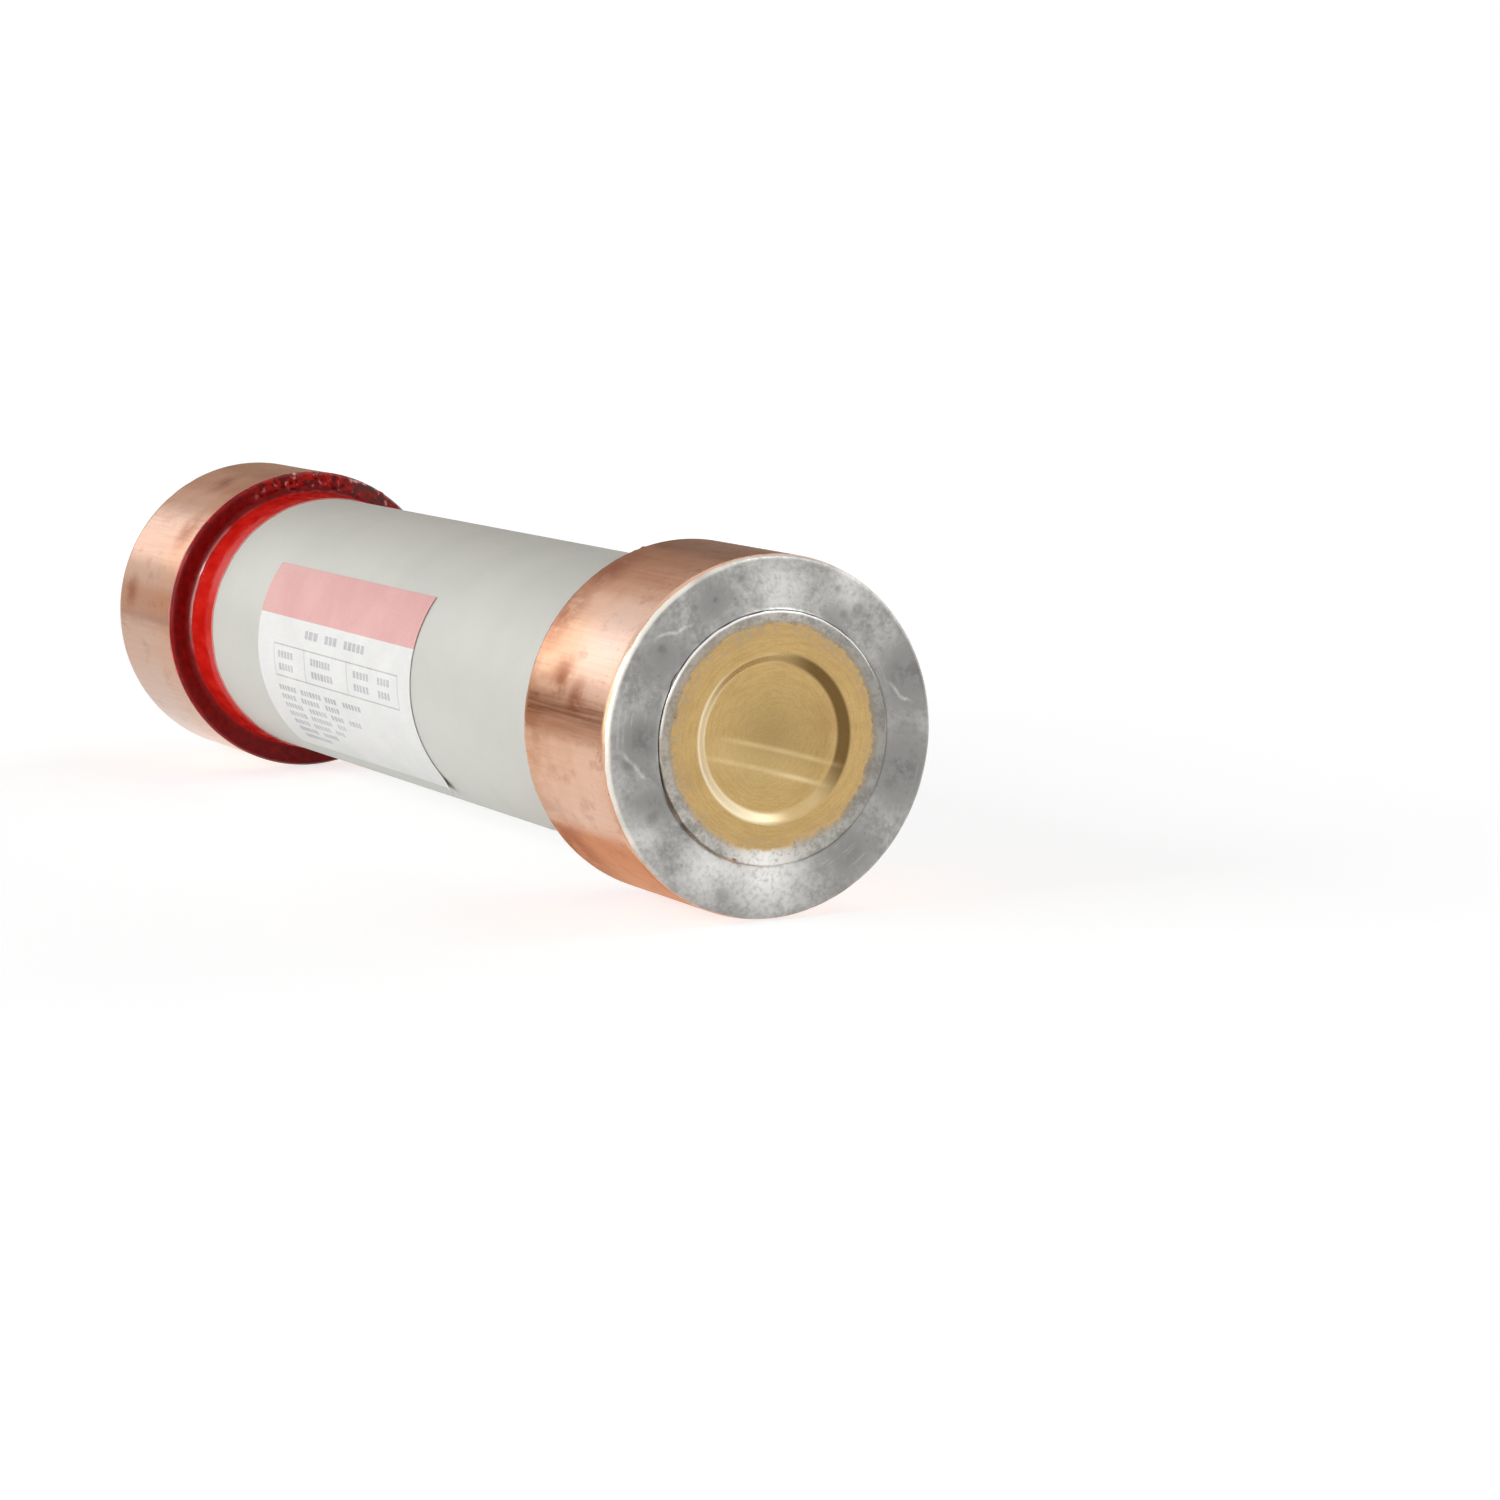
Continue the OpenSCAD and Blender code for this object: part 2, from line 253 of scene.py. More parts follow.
class Finish:
    """A material's node tree, with short calls for the nodes that the finishes share."""

    def __init__(self, name, **sockets):
        self.material = bpy.data.materials.new(name)
        self.material.use_nodes = True
        self.tree = self.material.node_tree
        self.shader = self.tree.nodes["Principled BSDF"]
        for socket, value in sockets.items():
            self.shader.inputs[socket.replace("_", " ")].default_value = value
        self.place = self.node("ShaderNodeTexCoord").outputs["Object"]

    def node(self, kind, **settings):
        made = self.tree.nodes.new(kind)
        for name, value in settings.items():
            setattr(made, name, value)
        return made

    def join(self, value, socket):
        """Links an output to a socket, or sets a plain value on it."""
        if isinstance(value, bpy.types.NodeSocket):
            self.tree.links.new(value, socket)
        else:
            socket.default_value = value

    def cloud(self, size, stretch=(1, 1, 1), turn=(0, 0, 0), seed=0.0, detail=4.0, harsh=0.5):
        """Noise from 0 to 1 whose features have the given size, stretched along the axes."""
        mapping = self.node("ShaderNodeMapping")
        mapping.inputs["Location"].default_value = (seed, 1.7 * seed, -0.6 * seed)
        mapping.inputs["Rotation"].default_value = turn
        mapping.inputs["Scale"].default_value = [1 / (size * part) for part in stretch]
        self.join(self.place, mapping.inputs["Vector"])
        return self.noise(mapping.outputs["Vector"], detail, harsh)

    def noise(self, place, detail, harsh):
        texture = self.node("ShaderNodeTexNoise")
        texture.inputs["Scale"].default_value = 1.0
        texture.inputs["Detail"].default_value = detail
        texture.inputs["Roughness"].default_value = harsh
        self.join(place, texture.inputs["Vector"])
        return texture.outputs["Fac"]

    def spun(self, size, spread, detail=3.0, harsh=0.5):
        """Noise from 0 to 1 in rings of the given width, drawn out along circles round the axis."""
        way = self.node("ShaderNodeVectorMath", operation="NORMALIZE")
        self.join(self.off_axis(), way.inputs[0])
        wide = self.node("ShaderNodeVectorMath", operation="SCALE")
        self.join(way.outputs["Vector"], wide.inputs[0])
        wide.inputs["Scale"].default_value = spread
        rings = self.node("ShaderNodeCombineXYZ")
        self.join(self.times(self.axis_distance(), 1 / size), rings.inputs["X"])
        place = self.node("ShaderNodeVectorMath", operation="ADD")
        self.join(wide.outputs["Vector"], place.inputs[0])
        self.join(rings.outputs["Vector"], place.inputs[1])
        return self.noise(place.outputs["Vector"], detail, harsh)

    def band(self, value, low, high, to_low=0.0, to_high=1.0):
        """Spreads a value's stretch from low to high over another stretch, smoothly."""
        made = self.node("ShaderNodeMapRange", interpolation_type="SMOOTHSTEP")
        self.join(value, made.inputs["Value"])
        made.inputs["From Min"].default_value = low
        made.inputs["From Max"].default_value = high
        made.inputs["To Min"].default_value = to_low
        made.inputs["To Max"].default_value = to_high
        return made.outputs["Result"]

    def maths(self, operation, first, second=0.0):
        made = self.node("ShaderNodeMath", operation=operation)
        self.join(first, made.inputs[0])
        self.join(second, made.inputs[1])
        return made.outputs["Value"]

    def sum(self, first, second):
        return self.maths("ADD", first, second)

    def difference(self, first, second):
        return self.maths("SUBTRACT", first, second)

    def larger(self, first, second):
        return self.maths("MAXIMUM", first, second)

    def magnitude(self, value):
        return self.maths("ABSOLUTE", value)

    def times(self, value, *factors):
        """Product of a value and all factors."""
        for factor in factors:
            value = self.maths("MULTIPLY", value, factor)
        return value

    def blend(self, share, first, second):
        """Colour that goes from the first to the second as the share rises."""
        made = self.node("ShaderNodeMix", data_type="RGBA")
        self.join(share, made.inputs[MIX_SHARE])
        self.join(first, made.inputs[MIX_FIRST])
        self.join(second, made.inputs[MIX_SECOND])
        return made.outputs[MIX_RESULT]

    def off_axis(self):
        """Place seen from the nearest point of the fuse-link's axis."""
        flat = self.node("ShaderNodeVectorMath", operation="MULTIPLY")
        self.join(self.place, flat.inputs[0])
        flat.inputs[1].default_value = (0, 1, 1)
        return flat.outputs["Vector"]

    def axis_distance(self):
        """Distance from the fuse-link's axis."""
        length = self.node("ShaderNodeVectorMath", operation="LENGTH")
        self.join(self.off_axis(), length.inputs[0])
        return length.outputs["Value"]

    def along(self, direction):
        """Place along a direction."""
        made = self.node("ShaderNodeVectorMath", operation="DOT_PRODUCT")
        self.join(self.place, made.inputs[0])
        made.inputs[1].default_value = direction
        return made.outputs["Value"]

    def nearness(self, point, reach):
        """1 at a point, falling to 0 at the given reach."""
        made = self.node("ShaderNodeVectorMath", operation="DISTANCE")
        self.join(self.place, made.inputs[0])
        made.inputs[1].default_value = point
        return self.band(made.outputs["Value"], reach, 0.0)

    def attribute(self, name):
        return self.node("ShaderNodeAttribute", attribute_name=name).outputs["Fac"]

    def relief(self, height, depth, under=None):
        """Bump of the given depth, over another one if there is one."""
        made = self.node("ShaderNodeBump")
        made.inputs["Distance"].default_value = depth
        self.join(height, made.inputs["Height"])
        if under is not None:
            self.join(under, made.inputs["Normal"])
        return made.outputs["Normal"]

    def done(self, base, rough=None, normal=None):
        self.join(base, self.shader.inputs["Base Color"])
        if rough is not None:
            self.join(rough, self.shader.inputs["Roughness"])
        if normal is not None:
            self.join(normal, self.shader.inputs["Normal"])
        return self.material


# Marks on the caps' walls: place along the axis, angle in degrees and reach, lengths in millimetres
# Some of these marks are painted reflections: the dark spots near 72 to 80 degrees deepen a reflected
# horizon band, and the spot at 134 degrees is a warm reflection from below.
CAP_STAINS_AND_REFLECTIONS = [(88, 72, 5.5), (94, 77, 5), (78, 50, 9), (80, 30, 8), (80, 134, 13),
                 (-99, 80, 5), (-83, 52, 6), (-90, 24, 6)]
# Painted highlight: place, angle and reach of a paler copper where the front cap's highlight lies
PAINTED_CAP_HIGHLIGHT = (99, 58, 14)

# Painted shade and painted highlights in patches on the front tinned face: place across, place upwards and
# reach in millimetres, and strength
TIN_PAINTED_SHADE = [(-21.5, 1, 7, 0.85), (-20, -9, 6, 0.75), (-18, 13, 7, 0.6), (-10, 21, 5.5, 0.6),
            (13, -18, 8, 0.7), (22, -6, 10, 0.85), (23, 8, 9, 0.85), (11, 18.5, 4, 0.6)]
TIN_PAINTED_HIGHLIGHTS = [(-1, -20.5, 9, 0.75), (-10, -18, 8, 0.55), (1, 22, 8, 0.42), (12.5, 21.5, 6, 0.36),
              (-21.6, -12.8, 5, 0.3)]


def near_cap_mark(f, mark):
    """Nearness to a mark on a cap's wall."""
    x, angle, reach = mark
    return f.nearness(around(x * MM, CAP_R, math.radians(angle)), reach * MM)


def tin_marked(f, base, marks, broken, tone):
    """Lays a tone over the base at the marks on the tinned face, broken up by a cloud."""
    for across, up, reach, strength in marks:
        near = f.nearness((END_X, across * MM, up * MM), reach * MM)
        base = f.blend(f.times(near, broken, strength), base, tone)
    return base


def copper_finish():
    """Drawn copper, brushed along the axis, tarnished, with stains and specks along its edges, painted dark
    reflections, painted shade on the rear cap and a painted highlight.
    """
    f = Finish("copper", Metallic=1.0)
    from_middle = f.magnitude(f.along(AXIS))
    shade = f.cloud(12 * MM, seed=3.0, detail=3)
    base = f.blend(f.band(shade, 0.35, 0.65), colour(217, 168, 136), colour(224, 180, 151))
    # Painted shade: the rear cap a shade darker on its label side, where its reflections should be dimmer
    painted_rear_shade = f.times(f.band(f.along(REARWARD), 40 * MM, 76 * MM),
                   f.band(f.along(LABEL_SIDE), 14 * MM, 22 * MM))
    base = f.blend(painted_rear_shade, base, colour(192, 150, 124))
    # Painted highlight on the front cap
    base = f.blend(near_cap_mark(f, PAINTED_CAP_HIGHLIGHT), base, colour(217, 183, 166))
    brush = f.cloud(0.45 * MM, stretch=(36, 1, 1), seed=1.0, detail=3)
    mouth = f.band(from_middle, MOUTH_X + 14 * MM, MOUTH_X)
    streak = f.times(f.band(brush, 0.46, 0.72), f.sum(f.times(mouth, 0.4), 0.05))
    base = f.blend(streak, base, colour(196, 132, 98))
    cloudy = f.cloud(3.5 * MM, stretch=(1.6, 1, 1), seed=8.0, detail=6, harsh=0.62)
    tarnish_and_dark_reflection = f.times(f.band(cloudy, 0.54, 0.68), 0.3)
    uneven = f.band(cloudy, 0.34, 0.56, 0.2, 1.0)
    for mark in CAP_STAINS_AND_REFLECTIONS:
        tarnish_and_dark_reflection = f.larger(tarnish_and_dark_reflection, f.times(near_cap_mark(f, mark), uneven))
    base = f.blend(f.times(mouth, f.band(cloudy, 0.36, 0.6, 0.25, 0.75)), base, colour(200, 140, 98))
    # Tarnish and stains, among them the painted dark reflections listed with the marks
    base = f.blend(tarnish_and_dark_reflection, base, colour(158, 92, 54))
    edge = f.band(from_middle, CAP_X - 7 * MM, CAP_X - 0.5 * MM)
    speck = f.band(f.cloud(0.7 * MM, seed=5.0, detail=2), 0.66, 0.72)
    speck = f.times(speck, f.sum(f.times(edge, 0.6), 0.12))
    base = f.blend(speck, base, colour(86, 52, 38))
    rough = f.sum(f.band(brush, 0.3, 0.7, 0.17, 0.24), f.times(tarnish_and_dark_reflection, 0.05))
    soft = f.relief(f.cloud(5 * MM, seed=2.0), 0.04 * MM)
    normal = f.relief(brush, 0.003 * MM, soft)
    return f.done(base, rough, normal)


def tin_finish():
    """Wiped tin: soft grey clouds, faint wipe marks, and painted shade and painted highlights in patches, in
    the dents, on the creases and along the rim.
    """
    f = Finish("wiped_tin", Metallic=1.0)
    wide = f.cloud(6 * MM, seed=4.0, detail=3)
    fine = f.cloud(0.8 * MM, seed=11.0, detail=6, harsh=0.7)
    blotch = f.cloud(2.4 * MM, seed=15.0, detail=4)
    tone = f.sum(f.times(f.sum(wide, blotch), 0.3), f.times(fine, 0.4))
    base = f.blend(f.band(tone, 0.37, 0.63), colour(146, 144, 142), colour(188, 187, 183))
    broken = f.band(tone, 0.38, 0.56)
    # Painted shade and painted highlights in patches on the front face
    base = tin_marked(f, base, TIN_PAINTED_SHADE, broken, colour(106, 105, 104))
    smooth = f.band(fine, 0.3, 0.55, 0.55, 1.0)
    base = tin_marked(f, base, TIN_PAINTED_HIGHLIGHTS, smooth, colour(255, 254, 251))
    wipe = f.spun(0.7 * MM, 3.0, detail=4)
    wiped = f.times(f.band(wipe, 0.52, 0.72), f.band(wide, 0.48, 0.62))
    base = f.blend(f.times(wiped, 0.3), base, colour(220, 219, 215))
    pit = f.band(f.cloud(0.6 * MM, seed=6.0, detail=2), 0.68, 0.76)
    base = f.blend(f.times(pit, 0.35), base, colour(90, 89, 88))
    # Painted shade in the dents and painted highlights on the creases
    dent_shade = f.times(f.attribute("dent"), f.band(fine, 0.3, 0.6, 0.1, 0.5))
    base = f.blend(dent_shade, base, colour(88, 88, 88))
    crease_highlight = f.times(f.attribute("crease"), f.band(fine, 0.3, 0.6, 0.1, 0.55))
    base = f.blend(crease_highlight, base, colour(236, 236, 233))
    # Painted highlight along the round rim
    rim = f.attribute("rim")
    base = f.blend(f.times(rim, 0.75), base, colour(255, 248, 236))
    rough = f.sum(f.band(tone, 0.38, 0.62, 0.44, 0.34), f.times(rim, -0.12))
    soft = f.relief(f.cloud(2.2 * MM, seed=9.0, detail=4), 0.05 * MM)
    normal = f.relief(f.sum(f.times(wipe, 0.6), fine), 0.026 * MM, soft)
    return f.done(base, rough, normal)


BROWNED_SIDE = (0, -0.87, 0.5)
GREYED_SIDE = (0, 1, 0.1)
SOLDER_HIGHLIGHT_SPOT = (DISC_X, -2 * MM, -18 * MM)


def solder_finish():
    """Dull light solder with a fine grain, browned by flux at its edge on the brass, with painted highlights
    near the bottom and along the top of its outer edge.
    """
    f = Finish("solder_run", Metallic=1.0)
    grit = f.cloud(0.5 * MM, seed=2.0, detail=3, harsh=0.55)
    patch = f.cloud(2.4 * MM, seed=5.0, detail=3)
    tone = f.sum(f.times(grit, 0.45), f.times(patch, 0.55))
    base = f.blend(f.band(tone, 0.36, 0.62), colour(150, 147, 141), colour(198, 195, 189))
    edge = f.attribute("edge")
    top_edge_highlight = f.attribute("top_edge_highlight")
    thinned = f.sum(edge, f.times(f.sum(tone, -0.5), 1.8))
    base = f.blend(f.band(thinned, 0.1, 0.5, 0.0, 0.6), base, colour(182, 154, 114))
    browned = f.band(f.along(BROWNED_SIDE), 4 * MM, 19 * MM, 0.0, 0.45)
    base = f.blend(browned, base, colour(150, 132, 106))
    greyed = f.band(f.along(GREYED_SIDE), 2 * MM, 19 * MM, 0.0, 0.55)
    base = f.blend(greyed, base, colour(122, 118, 112))
    # Painted highlight near the bottom
    lit_spot = f.nearness(SOLDER_HIGHLIGHT_SPOT, 8 * MM)
    base = f.blend(f.times(lit_spot, f.band(tone, 0.36, 0.56, 0.3, 0.9)), base, colour(248, 246, 241))
    # Painted highlight along the outer edge
    base = f.blend(f.times(top_edge_highlight, 0.9), base, colour(250, 250, 250))
    dirt = f.times(edge, f.band(f.cloud(0.8 * MM, seed=9.0, detail=2), 0.6, 0.7))
    base = f.blend(f.times(dirt, 0.5), base, colour(96, 84, 70))
    film = f.band(thinned, 0.58, 1.08)
    base = f.blend(film, base, colour(199, 167, 111))
    rough = f.sum(f.band(grit, 0.3, 0.7, 0.34, 0.48), f.times(top_edge_highlight, -0.2))
    rough = f.sum(rough, f.times(film, -0.1))
    normal = f.relief(f.times(grit, f.difference(1.0, f.times(film, 0.8))), 0.03 * MM)
    return f.done(base, rough, normal)


SCRATCH_LINE = Vector((0, 0.965, -0.26)).normalized()
SCRATCH_ACROSS = Vector((0, 0.26, 0.965)).normalized()
SCRATCHES = [(Vector((END_X, 1.5 * MM, -2.0 * MM)), 12.5 * MM),
             (Vector((END_X, -1.5 * MM, -4.6 * MM)), 12.5 * MM),
             (Vector((END_X, 3.5 * MM, -6.2 * MM)), 8 * MM)]
SCRATCH_BEND = 2.0
SCRATCH_W = 0.65 * MM
SCRATCH_FADE = 7 * MM
RUBBED_BAND = -4.4 * MM
WALL_SHADE_SIDE = (0, 0.95, 0.31)
WALL_HIGHLIGHT_SIDE = (0, -0.92, -0.39)
SHADED_SIDE = (0, 1, -0.2)


def brass_finish():
    """Pressed brass sheet: soft grain, duller middle, a dish wall with painted shade and a painted
    highlight, and scratches across a scuffed band.
    """
    f = Finish("brass_sheet", Metallic=1.0)
    fine = f.cloud(0.5 * MM, seed=3.0, detail=3, harsh=0.55)
    base = f.blend(f.band(fine, 0.3, 0.7), colour(197, 165, 109), colour(203, 171, 115))
    dull = f.cloud(3 * MM, stretch=(1, 2.4, 1), turn=(0.26, 0, 0), seed=6.0, detail=4)
    base = f.blend(f.times(f.band(dull, 0.42, 0.68), 0.4), base, colour(182, 150, 97))
    rings = f.band(f.spun(0.3 * MM, 4.0), 0.42, 0.66)
    base = f.blend(f.times(rings, 0.35), base, colour(172, 139, 86))
    out = f.axis_distance()
    middle = f.band(f.sum(out, f.times(dull, 5 * MM)), 13.5 * MM, 2 * MM)
    base = f.blend(f.times(middle, 0.7), base, colour(160, 136, 90))
    outer = f.sum(out, f.times(dull, 4 * MM))
    base = f.blend(f.band(outer, 16.2 * MM, 18.8 * MM, 0.0, 0.35), base, colour(198, 156, 104))
    frosted = f.band(f.cloud(0.8 * MM, seed=12.0, detail=4), 0.4, 0.64)
    frost = f.times(f.band(outer, 16.4 * MM, 19 * MM), frosted)
    base = f.blend(f.times(frost, 0.8), base, colour(172, 156, 128))
    wall = f.times(f.band(out, DISH_FLOOR_R - 0.4 * MM, DISH_FLOOR_R + 0.2 * MM),
                   f.band(out, DISH_R + 0.5 * MM, DISH_R - 0.1 * MM))
    base = f.blend(f.times(wall, 0.5), base, colour(216, 192, 144))
    # Painted shade on one side of the dish wall and a painted highlight on the other
    wall_painted_shade = f.times(wall, f.band(f.along(WALL_SHADE_SIDE), 3 * MM, 10 * MM, 0.0, 0.92))
    base = f.blend(wall_painted_shade, base, colour(102, 76, 38))
    wall_painted_highlight = f.times(wall, f.band(f.along(WALL_HIGHLIGHT_SIDE), 1 * MM, 10 * MM))
    base = f.blend(f.times(wall_painted_highlight, 0.95), base, colour(255, 243, 212))
    front = f.band(f.along(AXIS), 0.0, 1 * MM)
    mark = 0.0
    for spot, half in SCRATCHES:
        off = f.difference(f.along(SCRATCH_ACROSS), spot.dot(SCRATCH_ACROSS))
        run = f.difference(f.along(SCRATCH_LINE), spot.dot(SCRATCH_LINE))
        off = f.sum(off, f.times(run, run, SCRATCH_BEND))
        width = f.band(f.magnitude(off), SCRATCH_W, 0.0)
        reach = f.band(f.magnitude(run), half, half - SCRATCH_FADE)
        mark = f.sum(mark, f.times(width, reach))
    across = f.magnitude(f.difference(f.along(SCRATCH_ACROSS), RUBBED_BAND))
    haze = f.times(f.band(across, 4.2 * MM, 0.8 * MM), f.band(out, 13 * MM, 8 * MM))
    base = f.blend(f.times(haze, front, 0.26), base, colour(222, 192, 138))
    shaded = f.times(f.band(f.along(SHADED_SIDE), 2 * MM, 12 * MM),
                     f.band(out, DISH_FLOOR_R, DISH_FLOOR_R - 2 * MM))
    base = f.blend(f.times(shaded, 0.45), base, colour(150, 121, 74))
    mark = f.times(mark, front, f.band(dull, 0.3, 0.55, 0.55, 1.0))
    base = f.blend(f.times(mark, 0.36), base, colour(240, 216, 168))
    rough = f.sum(f.band(fine, 0.3, 0.7, 0.26, 0.3), f.times(wall_painted_highlight, 0.2))
    soft = f.relief(dull, 0.004 * MM)
    normal = f.relief(mark, 0.006 * MM, soft)
    return f.done(base, rough, normal)


def porcelain_finish():
    """Smooth light grey porcelain with a faint mottle and a few specks."""
    f = Finish("porcelain", Specular_IOR_Level=0.5)
    tone = f.cloud(18 * MM, seed=1.0, detail=3)
    base = f.blend(f.band(tone, 0.3, 0.7), colour(208, 209, 201), colour(215, 215, 207))
    speck = f.band(f.cloud(0.6 * MM, seed=4.0, detail=2), 0.76, 0.82)
    base = f.blend(f.times(speck, 0.3), base, colour(150, 146, 136))
    skin = f.cloud(1.5 * MM, seed=2.0, detail=3)
    rough = f.band(skin, 0.3, 0.7, 0.4, 0.48)
    normal = f.relief(skin, 0.008 * MM)
    return f.done(base, rough, normal)


def lacquer_finish():
    """Red lacquer, darker on the bead partly as painted shade, lumpy on top with painted light, a painted
    reflection and painted glints there, pale at its thin edge.
    """
    f = Finish("red_lacquer", Specular_IOR_Level=0.15, Coat_IOR=1.9, Coat_Roughness=0.12)
    streak = f.cloud(2.2 * MM, stretch=(2.5, 1, 1), seed=3.0, detail=3)
    base = f.blend(f.band(streak, 0.35, 0.65), colour(206, 22, 14), colour(220, 33, 22))
    lumps = f.cloud(1.3 * MM, seed=5.0, detail=3)
    deep = f.blend(f.band(lumps, 0.35, 0.65), colour(128, 8, 10), colour(150, 13, 12))
    # Darker on the bead at the mouth: a thicker layer, and partly painted shade
    base = f.blend(f.attribute("thick_and_shaded"), base, deep)
    crust = f.attribute("crust")
    # Painted light and shade on the crust: brighter red where the bump rises, darker in its hollows
    uneven = f.blend(f.band(lumps, 0.4, 0.58), colour(122, 10, 14), colour(222, 40, 32))
    base = f.blend(f.times(crust, 0.85), base, uneven)
    # Painted reflection: a greyish brown over the crust past the top
    past_top = f.times(f.band(f.along(FAR_SIDE), 5 * MM, 11 * MM),
                       f.band(f.along(UPWARD), 17 * MM, 22 * MM))
    browned = f.times(crust, past_top, f.band(lumps, 0.36, 0.56, 0.9, 0.45))
    base = f.blend(browned, base, colour(122, 84, 82))
    # Painted glints on the crust
    painted_glint = f.band(f.cloud(1.5 * MM, seed=9.0, detail=3), 0.58, 0.7)
    base = f.blend(f.times(crust, painted_glint, 0.9), base, colour(255, 200, 193))
    base = f.blend(f.times(f.attribute("thin"), 0.8), base, colour(238, 176, 166))
    rough = f.band(streak, 0.3, 0.7, 0.18, 0.28)
    f.join(f.attribute("gloss"), f.shader.inputs["Coat Weight"])
    normal = f.relief(lumps, 0.02 * MM)
    return f.done(base, rough, normal)


def paper_finish(name, pale, deep):
    """Printed paper with a faint fibre and a soft tone."""
    f = Finish(name, Specular_IOR_Level=0.3)
    fibre = f.cloud(0.4 * MM, stretch=(3, 1, 1), seed=2.0, detail=5)
    tone = f.cloud(9 * MM, seed=5.0, detail=2)
    base = f.blend(f.band(f.sum(f.times(fibre, 0.4), f.times(tone, 0.6)), 0.35, 0.65), deep, pale)
    rough = f.band(fibre, 0.3, 0.7, 0.55, 0.7)
    return f.done(base, rough, f.relief(fibre, 0.006 * MM))


def plain_finish(name, size, first, second, rough_low, rough_high, depth, **sockets):
    """Two tones mottled at the given grain, for the pieces inside."""
    f = Finish(name, **sockets)
    mottle = f.cloud(size, seed=2.0, detail=5)
    base = f.blend(f.band(mottle, 0.35, 0.65), first, second)
    rough = f.band(mottle, 0.3, 0.7, rough_low, rough_high)
    return f.done(base, rough, f.relief(mottle, depth))


COPPER = copper_finish()
TIN = tin_finish()
SOLDER = solder_finish()
BRASS = brass_finish()
PORCELAIN = porcelain_finish()
LACQUER = lacquer_finish()
PAPER_WHITE = paper_finish("paper_white", colour(246, 246, 244), colour(238, 238, 236))
PAPER_PINK = paper_finish("paper_pink", colour(240, 190, 186), colour(234, 178, 175))
PAPER_INK = paper_finish("paper_ink", colour(214, 213, 216), colour(186, 185, 190))


# Porcelain tube

TUBE_STEPS = 160
TUBE_FINE = 3 * MM
TUBE_WAVE = 0.02 * MM
TUBE_WAVE_SIZE = 20 * MM
TUBE_SEED = 4.0


def porcelain_tube():
    bm = turned([
        (-TUBE_X, BORE_R, TUBE_CHAMFER), (-TUBE_X, TUBE_R, TUBE_CHAMFER),
        (TUBE_X, TUBE_R, TUBE_CHAMFER), (TUBE_X, BORE_R, TUBE_CHAMFER),
    ], TUBE_STEPS, TUBE_FINE)

    def wave(x, r, angle):
        swell = grain(around(x, r, angle), TUBE_WAVE_SIZE, TUBE_SEED)
        return x, r - TUBE_WAVE * (0.5 + 0.5 * swell), angle

    worked(bm, wave)
    return finished(bm, "porcelain_tube", "fuse_tube", [PORCELAIN])


# Copper caps

CAP_STEPS = 240
CAP_FINE = 0.7 * MM
PORT_ROUND = 0.2 * MM
CAP_WAVE = 0.04 * MM
CAP_DIPS = [(0.35, 13, 0), (0.15, 4, 5)]
CAP_NICK = 0.12 * MM
CAP_NICK_SIZE = 2.2 * MM


def copper_cap(end, seed):
    bm = turned([
        (MOUTH_X, SKIRT_R, 0), (MOUTH_X, CAP_R, CAP_MOUTH_ROUND), (CAP_X, CAP_R, CAP_EDGE_R),
        (CAP_X, PORT_R, PORT_ROUND), (CAP_INSIDE_X, PORT_R, 0), (CAP_INSIDE_X, SKIRT_R, 0),
    ], CAP_STEPS, CAP_FINE)

    def hand_worked(x, r, angle):
        outer = ease(r, SKIRT_R, CAP_R - 0.4 * MM)
        point = around(x, r, angle)
        dip = 0.5 + grains(point, CAP_DIPS, seed)
        edge = outer * ease(x, CAP_X - 2 * MM, CAP_X - 0.6 * MM)
        nick = edge * CAP_NICK * max(0.0, grain(point, CAP_NICK_SIZE, seed + 9) - 0.35)
        return x - nick, r - outer * CAP_WAVE * dip - nick, angle

    worked(bm, hand_worked)
    return finished(bm, f"{end}_copper_cap", f"{end}_end_cap", [COPPER], end == "rear")


# Seam around each closing disc

# Open stretches, in degrees: where each starts to open, is open, starts to close and is closed
OPEN_STRETCHES = [(92, 118, 182, 194), (55, 58, 60, 65)]


def open_seam(angle):
    """Share of the seam left open: along the lower left and the bottom, and at one spot above."""
    turn = math.degrees(angle) % 360
    return max(ease(turn, start, opened) * (1 - ease(turn, closing, closed))
               for start, opened, closing, closed in OPEN_STRETCHES)


# Tinned faces

TIN_STEPS = 480
TIN_FINE = 0.25 * MM
TIN_SKIN = 0.26 * MM
TIN_SINK = 0.06 * MM
TIN_INNER_R = RING_R - 0.02 * MM
TIN_INNER_ROUND = 0.12 * MM
TIN_OVER = math.radians(70)
TIN_OVER_STEPS = 8
RIM_HIGHLIGHT_ANGLE = math.radians(72)
TIN_RELIEF = 0.07 * MM
TIN_WAVES = [(0.75, 6, 0), (0.35, 2, 1), (0.12, 0.7, 2)]
TIN_WIPED_TO = 0.84
TIN_RAGGED = [(0.12, 5, 3), (0.07, 1.2, 6)]
SEAM_GROOVE = 0.12 * MM
SEAM_LIP = 0.42 * MM
SEAM_W = 0.45 * MM
EDGE_X = CAP_X - CAP_EDGE_R
EDGE_R = CAP_R - CAP_EDGE_R

# Dents in the tin: distance from the axis, angle in degrees, width and depth, in millimetres
TIN_DENTS = [(23.6, -38, 1.3, 0.16), (24.4, -27, 0.9, 0.13), (21.6, -34, 1.0, 0.1), (24.0, 96, 1.8, 0.12),
             (22.8, 118, 1.6, 0.1), (23.2, 52, 1.2, 0.1), (21.4, -112, 1.0, 0.08), (24.2, 160, 1.6, 0.07),
             (23.9, 33, 0.8, 0.14), (23.1, 24, 0.7, 0.12), (24.6, 12, 0.8, 0.1)]

